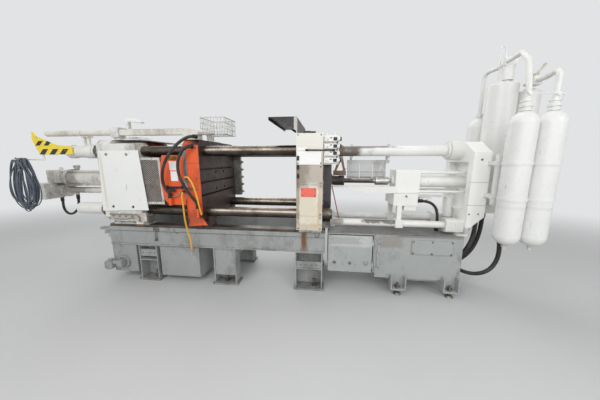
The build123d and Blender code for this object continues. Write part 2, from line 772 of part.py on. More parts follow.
def closing_cylinder():
    """Closing cylinder: flanged barrel with four tension rods."""
    flange = block(rear_face_x - 45, rear_face_x, -185, 185, centre_height - 185, centre_height + 185)
    flange = chamfer(flange.edges().filter_by(Axis.X), 25)
    barrel = rod_x(closing_left_x, rear_face_x - 45, 0, centre_height, closing_outside - 30)
    end_ring = rod_x(closing_left_x, closing_left_x + 60, 0, centre_height, closing_outside + 8)
    body = flange + barrel + end_ring
    body += rod_x(rear_face_x - 110, rear_face_x - 45, 0, centre_height, closing_outside)
    body -= rod_x(closing_left_x + 60, rear_face_x - 110, 0, centre_height, closing_bore)
    body -= rod_x(rear_face_x - 111, rear_face_x + 1, 0, centre_height, closing_rod_diameter + 0.16)
    for y in (-80, 80):
        body += rod_x(closing_left_x + 30, rear_face_x - 60, y, centre_height + 104, 24)
        body += rod_x(closing_left_x + 30, rear_face_x - 60, y, centre_height - 104, 24)
    body += rod_z(closing_left_x + 130, 0, centre_height + 110, centre_height + 190, 60)
    body += rod_x(closing_left_x + 90, closing_left_x + 170, 0, centre_height + 172, 44)
    save("closing_cylinder", body)


pipe_z = 1185.0
loop_left_x = -2830.0
loop_left_z = 1060.0
loop_right_x = -2540.0
loop_right_z = 1105.0


def closing_valves():
    """Valve block behind the closing cylinder, with the return pipe below it."""
    end = closing_left_x
    block_1 = block(end - 300, end - 24, -95, 95, 1300, 1490)
    block_1 = chamfer(block_1.edges().filter_by(Axis.Y), 14)
    block_1 += rod_x(end - 24, end, 0, centre_height, 150)
    block_1 += rod_z(end - 150, 0, 1490, 1530, 50)
    pipe = rod_x(end - 60, rear_face_x - 45, 0, pipe_z, 90)
    pipe += rod_x(rear_face_x - 63, rear_face_x - 45, 0, pipe_z, 104)
    pipe += rod_z(loop_right_x, 0, loop_right_z, pipe_z, 48)
    neck = rod_x(end - 320, end - 60, 0, pipe_z - 10, 190)
    neck += rod_z(loop_left_x, 0, loop_left_z, pipe_z - 10, 48)
    case = block(end - 612, end - 320, -130, 130, 1040, 1292)
    case = fillet(case.edges().filter_by(Axis.Y), 30)
    link = block(end - 290, end - 200, -60, 60, pipe_z + 60, 1300)
    save("closing_valves", block_1 + pipe + neck + case + link)


def moving_platen():
    """Moving platen with T-slots, toggle lugs and sliding shoes."""
    body = plate_yz(lift(corner_outline(platen_width, moving_height, platen_corner)), moving_back_x,
                    moving_face_x)
    for level in (-1, 1):
        pin_z = centre_height + level * pin_height
        for side in (-1, 1):
            inner, outer = side * front_lug_in, side * front_lug_out
            low, high = sorted((inner, outer))
            lug = plate_xz([(moving_back_x, pin_z - level * 190), (front_pin_x, pin_z - level * 84),
                            (front_pin_x, pin_z + level * 84), (moving_back_x, pin_z + level * 78)], low,
                            high)
            lug += rod_y(front_pin_x, low, high, pin_z, 168)
            body += lug
        body += rod_y(front_pin_x, -front_lug_out - 8, front_lug_out + 8, pin_z, pin_diameter)
    for side in (-1, 1):
        shoe_in, shoe_out = side * 300, side * 424
        shoe = plate_xz([(moving_back_x - 60, way_top), (moving_face_x + 60, way_top),
                         (moving_face_x + 60, way_top + 26),
                         (moving_face_x, platen_bottom + 90), (moving_back_x, platen_bottom + 90),
                         (moving_back_x - 60, way_top + 26)], shoe_in, shoe_out)
        body += shoe
    for y, z in tie_points:
        body -= rod_x(moving_back_x - 61, moving_face_x + 61, y, centre_height + z,
                      tie_diameter + 2 * tie_running_gap)
    for cut in slot_cuts(moving_face_x, -1):
        body -= cut
    for y in (-120, 120):
        for z in (-110, 110):
            body -= rod_x(moving_back_x - 1, moving_face_x + 1, y, centre_height + z, 40.2)
    body += rod_x(moving_back_x - 60, moving_back_x, 0, centre_height, 130)
    body += rod_x(moving_back_x - 20, moving_back_x, 0, centre_height, 170)
    body -= rod_x(moving_back_x - 61, moving_back_x + ejector_travel - 5, 0, centre_height, 50)
    save("moving_platen", body)


ejector_plate_x = moving_back_x - 190.0


def ejector():
    """Ejector plate with its rods, driven by the cylinder on the moving platen."""
    plate = block(ejector_plate_x, ejector_plate_x + 28, -160, 160, centre_height - 150,
                  centre_height + 150)
    plate = fillet(plate.edges().filter_by(Axis.X), 20)
    plate += rod_x(ejector_plate_x + 28, moving_back_x - 12, 0, centre_height, 49.8)
    for y in (-120, 120):
        for z in (-110, 110):
            plate += rod_x(ejector_plate_x + 28, moving_face_x - ejector_travel - 10, y, centre_height + z,
                           40)
    save("ejector_plate", plate)


hose_a_end = (-556.0, -576.0, 1185.0)
hose_b_end = (-214.0, -566.0, 1060.0)


def side_guard():
    """Orange sheet guard and steel strip on the operator side of the moving platen."""
    y0 = -platen_width / 2
    panel = plate_xz([(-640, 1697), (moving_back_x + 6, 1697), (moving_back_x + 6, 1095), (-600, 1095),
                      (-660, 1160),
                      (-690, 1400), (-670, 1600)], y0 - 22, y0 - 18)
    face = block(moving_back_x + 8, moving_face_x, y0 - 10, y0, platen_bottom + 70, platen_top - 75)
    foot = plate_xz([(moving_back_x + 30, platen_bottom + 70), (moving_face_x, platen_bottom + 70),
                     (moving_face_x + 56, 838), (moving_back_x + 8, 838)], y0 - 10, y0)
    strip = block(moving_back_x + 2, moving_back_x + 50, y0 - 18, y0 - 10, 1310, 1800)
    handle = block(-600, -400, y0 - 34, y0 - 22, 1300, 1322) + block(-545, -480, y0 - 52, y0 - 22, 1262,
                                                                     1300)
    rail = block(-640, moving_back_x + 50, y0 - 18, y0 - 10, 1500, 1560)
    elbows = rod_z(hose_a_end[0], hose_a_end[1], 1094, hose_a_end[2], 38)
    elbows += rod_y(hose_a_end[0], hose_a_end[1] - 17, y0 - 22, 1110, 32)
    elbows += rod_z(hose_b_end[0], hose_b_end[1], 948, hose_b_end[2], 38)
    elbows += rod_y(hose_b_end[0], hose_b_end[1] - 17, y0 - 10, 964, 32)
    save("side_guard", panel + face + foot + strip + handle + rail + elbows)


def far_manifold():
    """Hydraulic manifold plate on the far side of the moving platen."""
    y0 = platen_width / 2
    plate = block(moving_back_x + 40, moving_face_x + 110, y0, y0 + 50, 1070, 1800)
    plate = chamfer(plate.edges().filter_by(Axis.Y), 10)
    for i in range(6):
        z = 1130 + i * 120
        plate += rod_x(moving_face_x + 110, moving_face_x + 146, y0 + 25, z, 30)
        plate += hex_x(moving_face_x + 110, moving_face_x + 126, y0 + 25, z, 40)
    save("far_manifold", plate)


def parts_basket():
    """Open wire basket carried on a post above the moving platen."""
    x0, x1, y0, y1, z0, z1 = moving_back_x + 60, 10.0, -190.0, 170.0, 1975.0, 2190.0
    wire = 5.0
    basket = block(x0, x1, y0, y1, z0, z0 + wire)
    basket -= block(x0 + 24, x1 - 24, y0 + 24, y1 - 24, z0 - 1, z0 + wire + 1)
    for i in range(8):
        x = x0 + i * (x1 - x0 - wire) / 7
        basket += block(x, x + wire, y0, y0 + wire, z0, z1) + block(x, x + wire, y1 - wire, y1, z0, z1)
        basket += block(x, x + wire, y0, y1, z0, z0 + wire)
    for i in range(1, 8):
        y = y0 + i * (y1 - y0 - wire) / 8
        basket += block(x0, x0 + wire, y, y + wire, z0, z1) + block(x1 - wire, x1, y, y + wire, z0, z1)
    for z in (z0 + 70, z0 + 140, z1 - 12):
        size = 12 if z > z1 - 20 else wire
        rim = block(x0, x1, y0, y1, z, z + size) - block(x0 + wire, x1 - wire, y0 + wire, y1 - wire, z - 1,
                                                         z + size + 1)
        basket += rim
    for y in (-60.0, 40.0):
        basket += block(moving_back_x + 70, moving_back_x + 110, y, y + 30, moving_top, z0 + wire)
    basket += block(moving_back_x + 50, moving_face_x - 10, -90, 100, moving_top, moving_top + 8)
    save("parts_basket", basket)


def guard_fittings():
    """Latches, a blank plate and a cable connector on the fixed platen's guard."""
    front = -platen_width / 2 - guard_depth
    pieces = []
    for z in (1660, 1560, 1462):
        latch = block(fixed_face_x + 10, fixed_face_x + 34, front - 16, front, z - 24, z + 24)
        latch += rod_y(fixed_face_x + 22, front - 26, front - 16, z, 16)
        pieces.append(latch)
    plate = block(1046, 1217, front - 5, front, 1226, 1326)
    for x in (1060, 1203):
        for z in (1240, 1312):
            plate += rod_y(x, front - 9, front - 5, z, 11)
    pieces.append(plate)
    plug = block(1073, 1150, front + 4, front + 36, guard_seams[-1] - 1, guard_seams[-1] + 22)
    plug += rod_x(1150, 1206, front + 20, guard_seams[-1] + 10, 20)
    pieces.append(plug)
    save("guard_fittings", *pieces)


def lube_strip():
    """Lubrication distributor along the foot of the rear platen."""
    front = -platen_width / 2
    strip = block(rear_face_x + 80, rear_box_x + 55, front - 14, front, 862, 975)
    strip = chamfer(strip.faces().sort_by(Axis.Y)[0].edges(), 3)
    for i in range(5):
        x = rear_face_x + 130 + i * 90
        strip += rod_y(x, front - 26, front - 14, 930, 20)
    for i in range(4):
        x = rear_box_x - 84 + i * 26
        strip += rod_z(x, front - 7, 846, 862, 12) + hex_z(x, front - 7, 826, 846, 18)
    return strip


def mesh_guard():
    """Framed mesh guard between the rear platen and the moving platen."""
    y0 = -platen_width / 2
    frame = plate_xz([(rear_box_x + 20, 1670), (rear_box_x + 304, 1670), (rear_box_x + 318, 1090),
                      (rear_box_x + 20, 1090)], y0 + 6, y0 + 14)
    frame -= block(rear_box_x + 50, rear_box_x + 262, y0, y0 + 20, 1120, 1640)
    for i in range(9):
        x = rear_box_x + 62 + i * 24
        frame += block(x, x + 5, y0 + 8, y0 + 12, 1118, 1642)
    for i in range(17):
        z = 1140 + i * 30
        frame += block(rear_box_x + 48, rear_box_x + 264, y0 + 8, y0 + 12, z, z + 5)
    for z in (1180, 1580):
        frame += block(rear_box_x, rear_box_x + 24, y0 + 6, y0 + 14, z - 30, z + 30)
    save("mesh_guard", frame)


def link_blade(x0, z0, x1, z1, r0, r1, y0, y1, waist):
    """A cast link: two bosses and a waisted shank, between two Y places."""
    dx, dz = x1 - x0, z1 - z0
    run = math.hypot(dx, dz)
    nx, nz = -dz / run, dx / run
    shank = plate_xz([(x0 + nx * waist, z0 + nz * waist), (x1 + nx * waist, z1 + nz * waist),
                      (x1 - nx * waist, z1 - nz * waist), (x0 - nx * waist, z0 - nz * waist)], y0, y1)
    return shank + rod_y(x0, y0, y1, z0, 2 * r0) + rod_y(x1, y0, y1, z1, 2 * r1)


def rear_link(name, level):
    """Forked rear link with its knee pin, pivot pin and two crosshead link pins."""
    pivot_z = centre_height + level * pin_height
    knee = centre_height + level * knee_z
    third = centre_height + level * cross_z
    link = None
    for side in (-1, 1):
        inner, outer = side * (blade_half + layer_gap), side * cheek_out
        low, high = sorted((inner, outer))
        cheek = link_blade(rear_pin_x, pivot_z, knee_x, knee, link_boss, link_boss, low, high, 70)
        cheek += link_blade(rear_pin_x, pivot_z, cross_x, third, link_boss, 52, low, high, 50)
        tip_in, tip_out = side * cheek_out, side * (cross_out + 4)
        cheek += rod_y(cross_x, tip_in, tip_out, third, cross_pin_diameter)
        link = cheek if link is None else link + cheek
    link += rod_y(rear_pin_x, -lug_in + 1, lug_in - 1, pivot_z, 2 * link_boss - 10)
    link += rod_y(knee_x, -cheek_out, cheek_out, knee, pin_diameter)
    link -= rod_y(rear_pin_x, -lug_out, lug_out, pivot_z, pin_diameter + 0.2)
    save(name, link)


def front_link(name, level):
    """Single blade front link; its knee eye is opened for the coupled motion."""
    pivot_z = centre_height + level * pin_height
    knee = centre_height + level * knee_z
    link = link_blade(knee_x, knee, front_pin_x, pivot_z, eye_boss, 84, -blade_half, blade_half, 62)
    link -= rod_y(knee_x, -blade_half - 1, blade_half + 1, knee, 2 * eye_radius)
    link -= rod_y(front_pin_x, -blade_half - 1, blade_half + 1, pivot_z, pin_diameter + 0.2)
    save(name, link)


def cross_links(name, level):
    """Pair of short links from the crosshead to the rear link."""
    base_z = centre_height + level * crosshead_pin_z
    third = centre_height + level * cross_z
    eye = cross_pin_diameter / 2 + cross_clearance
    pair = []
    for side in (-1, 1):
        inner, outer = side * cross_in, side * cross_out
        low, high = sorted((inner, outer))
        link = link_blade(crosshead_x, base_z, cross_x, third, 40, eye + 16, low, high, 26)
        link -= rod_y(cross_x, low - 1, high + 1, third, 2 * eye)
        link -= rod_y(crosshead_x, low - 1, high + 1, base_z, cross_pin_diameter + 0.2)
        pair.append(link)
    save(name, *pair)


def crosshead():
    """Crosshead with link pins, guide eyes and the closing cylinder's rod and piston."""
    body = block(crosshead_x - 70, crosshead_x + 52, -cheek_out, cheek_out, centre_height - 145,
                 centre_height + 145)
    body = chamfer(body.edges().filter_by(Axis.Y), 22)
    for level in (-1, 1):
        z = centre_height + level * crosshead_pin_z
        body += rod_y(crosshead_x, -cross_out - 4, cross_out + 4, z, cross_pin_diameter)
    body += block(crosshead_x - 45, crosshead_x + 45, -guide_rod_y - 46, guide_rod_y + 46,
                  centre_height - 38,
                  centre_height + 38)
    for side in (-1, 1):
        body += rod_x(crosshead_x - 45, crosshead_x + 45, side * guide_rod_y, centre_height, 92)
        body -= rod_x(crosshead_x - 80, crosshead_x + 80, side * guide_rod_y, centre_height,
                      guide_rod_diameter + 0.16)
    body += rod_x(closing_left_x + 120, crosshead_x - 70, 0, centre_height, closing_rod_diameter)
    body += rod_x(closing_left_x + 70, closing_left_x + 150, 0, centre_height, closing_bore - 0.2)
    save("crosshead", body)


def shot_frame():
    """Three rods that tie the end casting to the fixed platen, with their collars."""
    start = fixed_back_x + 110
    z_up = centre_height + upper_rod_z
    z_low = centre_height + lower_rod_z
    upper = rod_x(start, frame_left_x + 60, 0, z_up, upper_rod_diameter)
    upper += rod_x(frame_left_x - 140, frame_left_x, 0, z_up, 236)
    upper += rod_x(frame_left_x - 170, frame_left_x - 140, 0, z_up, 190)
    rods = [upper]
    for side in (-1, 1):
        y = side * lower_rod_y
        rod = rod_x(start, frame_left_x + 60, y, z_low, lower_rod_diameter)
        rod += rod_x(start, start + 60, y, z_low, 128)
        collar = block(frame_left_x - 200, frame_left_x, y - 72, y + 72, z_low - 80, z_low + 80)
        rods.append(rod + fillet(collar.edges().filter_by(Axis.X), 24))
    save("shot_frame_rods", *rods)


def end_frame():
    """End casting of the shot unit: a rimmed plate, chamfered below, with two feet."""
    low = -532.0
    shoulder = 355.0
    outline = [(-frame_half, low), (frame_half, low), (frame_half, shoulder), (95, 486), (-95, 486),
               (-frame_half, shoulder)]
    body = plate_yz(lift(outline), frame_left_x, frame_right_x)
    pocket = [(-frame_half + 90, low + 190), (frame_half - 90, low + 190),
              (frame_half - 90, shoulder - 110),
              (-frame_half + 90, shoulder - 110)]
    body -= plate_yz(lift(pocket), frame_left_x - 1, frame_left_x + 86)
    z = centre_height + low
    body -= plate_xz([(frame_right_x + 1, z + 142), (frame_right_x + 1, z - 1), (frame_left_x + 40, z - 1)],
                     -frame_half - 1, frame_half + 1)
    body -= rod_x(frame_left_x - 1, frame_left_x + 60, 0, centre_height + upper_rod_z, upper_rod_diameter)
    for side in (-1, 1):
        y = side * lower_rod_y
        body += rod_x(frame_left_x, frame_left_x + 84, y, centre_height + lower_rod_z,
                      lower_rod_diameter + 42)
        body += block(2890, frame_left_x + 36, side * 225, side * frame_half,
                      shot_base_top, z - 28)
        body += block(frame_left_x, frame_left_x + 36, side * 225, side * frame_half, z - 28, z)
        body -= block(2889, frame_left_x, side * 220, side * (frame_half + 5), shot_base_top + 20, z - 27)
        body -= rod_x(frame_left_x - 1, frame_left_x + 60, y, centre_height + lower_rod_z,
                      lower_rod_diameter)
    save("shot_end_frame", body)


barrel_outside = 150.0
barrel_bore = 110.0
piston_rod = 46.0
rod_pitch = 118.0
pocket_x = frame_left_x + 86.0


def shot_cylinder():
    """Shot cylinder: square head, barrel and four tension rods."""
    x0, x1 = head_left_x, head_left_x + 289
    half = head_size / 2
    head = block(x0, x1, -half, half, centre_height - half, centre_height + half)
    head = chamfer(head.edges().filter_by(Axis.X), 10)
    head += rod_x(x0 - 24, x0, 0, centre_height, 120)
    head -= rod_x(x0 - 25, x1 + 1, 0, centre_height, piston_rod + 0.16)
    save("shot_cylinder_head", head)
    barrel = rod_x(x1, pocket_x, 0, centre_height, barrel_outside)
    barrel -= rod_x(x1, pocket_x - 30, 0, centre_height, barrel_bore)
    rods = []
    for y in (-rod_pitch, rod_pitch):
        for z in (-rod_pitch, rod_pitch):
            rods.append(rod_x(x1, pocket_x, y, centre_height + z, 32))
    save("shot_cylinder_barrel", barrel, *rods)
    lower = block(x0 - 27, x1 - 28, -200, 200, 1077, centre_height - half)
    lower += block(x0 + 112, x1 - 30, -180, 60, 1016, 1077)
    for side in (-1, 1):
        y = side * lower_rod_y
        foot = block(x0 + 18, x0 + 72, y - 30, y + 30, 880, 1077)
        foot += block(x0, x0 + 90, y - 58, y + 58, 806, 905)
        foot -= rod_x(x0 - 1, x0 + 91, y, centre_height + lower_rod_z, lower_rod_diameter)
        lower += foot
    lower = lower - block(x0 - 28, x0 - 20, -120, 120, 1090, 1210)
    save("shot_valve_block", lower)


def pilot_filter():
    """Pilot filter bowl with its head, hung from the shot valve block by a manifold arm."""
    x, y = 2950 - 30, 20.0
    head = block(x - 45, x + 45, y - 45, y + 45, 1160, 1195)
    bowl = rod_z(x, y, 905, 1160, 106)
    bowl = fillet(bowl.edges().group_by(Axis.Z)[0], 18)
    arm = block(head_left_x + 261, x - 45, y - 24, y + 24, 1165, 1190)
    valves = block(2520, 2660, -90, 20, 1120, 1165) + rod_y(2560, -130, -90, 1140, 44) + rod_y(2620, -130,
                                                                                               -90, 1140,
                                                                                               44)
    save("pilot_filter", head + bowl + arm + valves)


def support_beam():
    """Tapered beam from the shot cylinder head to the fixed platen."""
    start = fixed_back_x + 110
    beam = plate_xz([(start, 1312), (head_left_x, 1312), (head_left_x, 1230), (1825, 1230), (1596, 1284),
                     (start, 1296)],
                    -178, -120)
    beam += block(start, start + 20, -178, -120, 1270, 1330)
    save("support_beam", beam)


def splash_panels():
    """Rail with three grey panels hung from the upper frame rod."""
    y0, y1 = 92.0, 120.0
    rail = block(1606, 2162, y0, y1, 1598, 1640)
    z_up = centre_height + upper_rod_z
    for x in (1640, 2110):
        strap = block(x, x + 30, y0 - 8, y0, 1600, z_up)
        band = rod_x(x, x + 30, 0, z_up, upper_rod_diameter + 50) - rod_x(x - 1, x + 31, 0, z_up,
                                                                          upper_rod_diameter)
        rail += strap + band - block(x - 1, x + 31, -upper_rod_diameter, 0, z_up - upper_rod_diameter,
                                     z_up + upper_rod_diameter)
    panels = [rail]
    for i in range(3):
        left = 1608 + i * 174
        panel = block(left, left + 166, y0 + 4, y0 + 12, 1398, 1598)
        panels.append(fillet(panel.edges().filter_by(Axis.Y), 6))
    save("splash_panels", *panels)


pour_x0 = 1432.0
pour_x1 = 1500.0


def shot_sleeve():
    """Shot sleeve through the fixed platen, with the pouring hole on top."""
    x0 = fixed_face_x - 25
    x1 = x0 + sleeve_length
    sleeve = rod_x(x0, x1, 0, centre_height, sleeve_outside)
    sleeve += rod_x(fixed_back_x + 110, fixed_back_x + 128, 0, centre_height, sleeve_outside + 44)
    sleeve -= rod_x(x0 - 1, x1 + 1, 0, centre_height, plunger_diameter)
    mouth = block(pour_x0, pour_x1, -30, 30, centre_height, centre_height + 80)
    sleeve -= fillet(mouth.edges().filter_by(Axis.Z), 20)
    save("shot_sleeve", sleeve)


def pour_chute():
    """Rusty pouring chute hung from the upper frame rod above the sleeve's hole."""
    z_up = centre_height + upper_rod_z
    x = (pour_x0 + pour_x1) / 2
    band = rod_x(x + 30, x + 74, 0, z_up, upper_rod_diameter + 24) - rod_x(x + 29, x + 75, 0, z_up,
                                                                           upper_rod_diameter)
    hanger = plate_xz([(x + 34, 1690), (x + 70, 1690), (x + 118, 1462), (x + 96, 1462), (x + 52, 1640),
                       (x - 22, 1462),
                       (x - 46, 1462)], -44, -38)
    far = plate_xz([(x + 34, 1690), (x + 70, 1690), (x + 118, 1462), (x + 96, 1462), (x + 52, 1640),
                    (x - 22, 1462),
                    (x - 46, 1462)], 38, 44)
    trough = plate_xz([(x - 20, 1446), (x + 118, 1530), (x + 118, 1522), (x - 20, 1438)], -44, 44)
    trough += block(x - 46, x + 118, -44, -38, 1440, 1500) + block(x - 46, x + 118, 38, 44, 1440, 1500)
    save("pour_chute", band + hanger + far + trough)


def plunger():
    """Plunger tip, plunger rod, coupling and the shot cylinder's piston rod."""
    tip_x = pour_x1 + 8
    tip = rod_x(tip_x, tip_x + 60, 0, centre_height, plunger_diameter - 0.2)
    rod = rod_x(tip_x + 60, 1962, 0, centre_height, 62)
    save("plunger", rod, tip)
    coupling = rod_x(1962, 2140, 0, centre_height, 112)
    coupling = chamfer(coupling.edges().filter_by(GeomType.CIRCLE), 8)
    shaft = rod_x(2140, pocket_x - 60, 0, centre_height, piston_rod)
    shaft += rod_x(pocket_x - 110, pocket_x - 50, 0, centre_height, barrel_bore - 0.2)
    save("piston_rod", coupling + shaft)


manifold_top = 1110.0
accumulator_x = 3367.0
small_accumulator_x = 3650.0


def bottle(x, y, base, diameter, length):
    """A seamless gas bottle: round bottom, domed shoulder, neck and collar."""
    r = diameter / 2
    top = base + length
    with BuildPart() as made:
        with BuildSketch(Plane.XZ):
            with BuildLine():
                Line((0, base), (0, top + 60))
                Line((0, top + 60), (30, top + 60))
                Line((30, top + 60), (30, top + 6))
                ThreePointArc((30, top + 6), (r * 0.72, top - r * 0.28), (r, top - r * 0.92))
                Line((r, top - r * 0.92), (r, base + r * 0.85))
                ThreePointArc((r, base + r * 0.85), (r * 0.70, base + r * 0.25), (0, base))
            make_face()
        revolve(axis=Axis.Z)
    solid = made.part
    solid += rod_z(0, 0, base - 26, base + 8, 28)
    solid += rod_z(0, 0, top + 22, top + 60, 78)
    return Pos(x, y, 0) * solid


bottle_places = [(bottle_near_x, bottle_near_y, 750.0), (bottle_end_x, bottle_near_y, 750.0),
                 (3345.0, 330.0, 830.0)]


def gas_bottles():
    """Three nitrogen bottles, hung from their clamps."""
    save("gas_bottles", *[bottle(x, y, z, bottle_diameter, bottle_length) for x, y, z in bottle_places])


band_levels = (1245.0, 1605.0)


def bottle_rack():
    """Steel rack that carries the bottles: post, cross bars and arms to the end casting."""
    back_y = bottle_near_y + bottle_diameter / 2 + 6
    post = block(3140, 3200, back_y, back_y + 40, 1150, 1700)
    rack = post
    for z in band_levels:
        rack += block(3110, bottle_end_x + 150, back_y, back_y + 24, z - 22, z + 22)
        rack += block(frame_right_x - 40, frame_right_x + 14, -frame_half - 130, -frame_half, z - 20,
                      z + 20)
    far_x, far_y, far_base = bottle_places[2]
    front = far_y - bottle_diameter / 2 - 6
    for z in band_levels:
        rack_far = block(far_x - 60, far_x + 60, front - 16, front, z - 22, z + 22)
        rack_far += block(frame_right_x, far_x - 60, front - 16, front, z - 22, z + 22)
        rack += rack_far
    bands = []
    for x, y, base in bottle_places:
        for z in band_levels:
            bands.append(rod_z(x, y, z - 16, z + 16, bottle_diameter + 12) - rod_z(x, y, z - 17, z + 17,
                                                                                bottle_diameter + 0.2))
    save("bottle_rack", rack, *bands)


def accumulators():
    """Two piston accumulators standing on the manifold behind the end casting."""
    r = accumulator_diameter / 2
    tall_top = manifold_top + accumulator_length
    tall = rod_z(accumulator_x, 0, manifold_top, tall_top, accumulator_diameter)
    tall = chamfer(tall.edges().filter_by(GeomType.CIRCLE), 8)
    tall += rod_z(accumulator_x - 60, -30, tall_top, tall_top + 40, 44)
    for i in range(4):
        angle = math.radians(45 + 90 * i)
        tall += hex_z(accumulator_x + math.cos(angle) * 96, math.sin(angle) * 96, tall_top, tall_top + 24,
                      34)
    small_top = manifold_top + 1310.0
    small = rod_z(small_accumulator_x, 0, manifold_top, small_top, 230)
    small = chamfer(small.edges().filter_by(GeomType.CIRCLE), 8)
    small += rod_z(small_accumulator_x, 0, small_top, small_top + 30, 70)
    for i in range(6):
        angle = math.radians(30 + 60 * i)
        small += hex_z(small_accumulator_x + math.cos(angle) * 78, math.sin(angle) * 78, small_top,
                       small_top + 20, 30)
    base = block(frame_right_x, small_accumulator_x + 130, -170, 170, 1000, manifold_top)
    base = chamfer(base.edges().filter_by(Axis.Y), 8)
    save("accumulator_manifold", base)
    valve = rod_z(accumulator_x + 20, 0, tall_top, tall_top + 50, 90)
    valve += rod_z(accumulator_x + 20, 0, tall_top + 50, tall_top + 200, 140)
    valve += block(accumulator_x - 40, accumulator_x + 80, -60, 60, tall_top + 200, tall_top + 290)
    u_z = tall_top + 290
    valve += rigid_pipe([(accumulator_x - 15, 0, u_z), (accumulator_x - 15, 0, u_z + 130),
                         (accumulator_x - 70, 0, u_z + 140),
                         (accumulator_x - 70, 0, u_z - 60)], 14, 24)
    valve += block(accumulator_x - 84, accumulator_x - 56, -14, 14, u_z - 90, u_z - 56)
    valve += block(accumulator_x - 84, accumulator_x - 39, -10, 10, u_z - 86, u_z - 66)
    save("accumulators", tall, small, valve)


pipe_diameter = 48.0
pipe_bend = 75.0
valve_axis_z = 2480.0
ball_valve_x = bottle_end_x + 75.0
ball_valve_y = -235.0


def ball_valve():
    """Ball valve body with the pipe from it to the small accumulator."""
    small_top = manifold_top + 1310.0 + 30
    x, y = ball_valve_x, ball_valve_y
    body = block(x - 42, x + 42, y, y + 90, valve_axis_z - 42, valve_axis_z + 42)
    body += rod_z(x, y + 45, valve_axis_z + 42, valve_axis_z + 60, 40)
    body += rigid_pipe([(x, y + 88, valve_axis_z), (x, y + 150, valve_axis_z),
                        (x + 20, -40, valve_axis_z + 10),
                        (small_accumulator_x, 0, small_top + 60), (small_accumulator_x, 0, small_top)], 40,
                        24)
    return body


def gas_pipes():
    """Bent pipes from the bottle necks to the accumulators."""
    top = bottle_places[0][2] + bottle_length + 60
    side_z = manifold_top + accumulator_length + 245
    face = 60.0
    near = rigid_pipe([(bottle_near_x, bottle_near_y, top), (bottle_near_x, bottle_near_y, 2330),
                       (bottle_near_x + 28, bottle_near_y + 90, 2600), (accumulator_x - 40, -280, side_z),
                       (accumulator_x - 20, -150, side_z), (accumulator_x - 20, -face, side_z)],
                       pipe_diameter, pipe_bend)
    end = rigid_pipe([(bottle_end_x, bottle_near_y, top), (bottle_end_x, bottle_near_y, valve_axis_z),
                      (ball_valve_x, -330, valve_axis_z), (ball_valve_x, ball_valve_y, valve_axis_z)],
                      pipe_diameter, pipe_bend)
    far_x, far_y, far_base = bottle_places[2]
    far = rigid_pipe([(far_x, far_y, far_base + bottle_length + 60), (far_x, far_y, side_z),
                      (accumulator_x + 20, 140, side_z), (accumulator_x + 20, face, side_z)],
                      pipe_diameter, pipe_bend)
    save("gas_pipes", near, end, far, ball_valve())


def valve_lever():
    """Lever of the ball valve, turning on the valve's stem."""
    x, y = ball_valve_x, ball_valve_y
    lever = rod_z(x, y + 45, valve_axis_z + 60.3, valve_axis_z + 78, 44)
    lever += plate_xz([(x - 12, valve_axis_z + 64), (x + 24, valve_axis_z + 64),
                       (x + 90, valve_axis_z + 176),
                       (x + 70, valve_axis_z + 182), (x, valve_axis_z + 76)], y + 36, y + 54)
    save("valve_lever", lever)


def pear_face(band):
    """Pear-shaped face of the hung hank, drawn in by a band's width."""
    half = coil_width / 2 - band
    low = coil_top - coil_height + band
    high = coil_top - band
    waist = half * 0.64
    outline = Spline((coil_x, 0, high), (coil_x + waist, 0, high - 190), (coil_x + half, 0, low + 240),
                     (coil_x, 0, low),
                     (coil_x - half, 0, low + 240), (coil_x - waist, 0, high - 190), periodic=True)
    return make_face(outline)


def cable_coil():
    """Hank of spare cable hung on the guard's hook: one closed pear-shaped ring."""
    depth = coil_depth / 2
    outer = extrude(pear_face(0), amount=depth, dir=(0, 1, 0), both=True)
    inner = extrude(pear_face(coil_band), amount=depth + 1, dir=(0, 1, 0), both=True)
    save("cable_coil", Pos(0, coil_y, 0) * (outer - inner))


hose_diameter = 34.0
air_line_diameter = 20.0
pressure_hose_diameter = 50.0
left_loop_points = [(loop_left_x, 0, loop_left_z), (loop_left_x, 0, 985), (-2818, -12, 910),
                    (-2780, -24, 845),
                    (-2720, -32, 806), (-2650, -32, 803), (-2590, -24, 840), (-2552, -12, 905),
                    (loop_right_x, 0, 985), (loop_right_x, 0, loop_right_z)]
hose_a_points = [(-215, bar_y - 60, 1912), (-215, -545, 1912), (-256, -590, 1902), (-345, -612, 1850),
                 (-440, -622, 1765),
                 (-530, -620, 1655), (-592, -616, 1530), (-616, -606, 1400), (-596, -590, 1290),
                 (-556, -576, 1240),
                 hose_a_end]
hose_b_points = [(-250, -530, 1796), (-250, -578, 1796), (-286, -604, 1784), (-342, -608, 1735),
                 (-386, -608, 1655),
                 (-406, -606, 1560), (-398, -604, 1460), (-362, -600, 1360), (-312, -594, 1270),
                 (-262, -584, 1190),
                 (-214, -566, 1120), hose_b_end]
yellow_short_points = [(-340, -538, 1428), (-340, -580, 1428), (-324, -612, 1440), (-284, -622, 1446),
                       (-244, -620, 1404), (-214, -616, 1320), (-194, -608, 1220), (-180, -600, 1120),
                       (-168, -592, 1030), (-158, -576, 950)]
yellow_long_points = [(-390, -542, 1262), (-390, -578, 1262), (-390, -594, 1226), (-386, -594, 1140),
                      (-384, -590, 1040),
                      (-386, -582, 930), (-380, -572, 820), (-356, -566, 715), (-338, -562, 620),
                      (-346, -558, 530)]
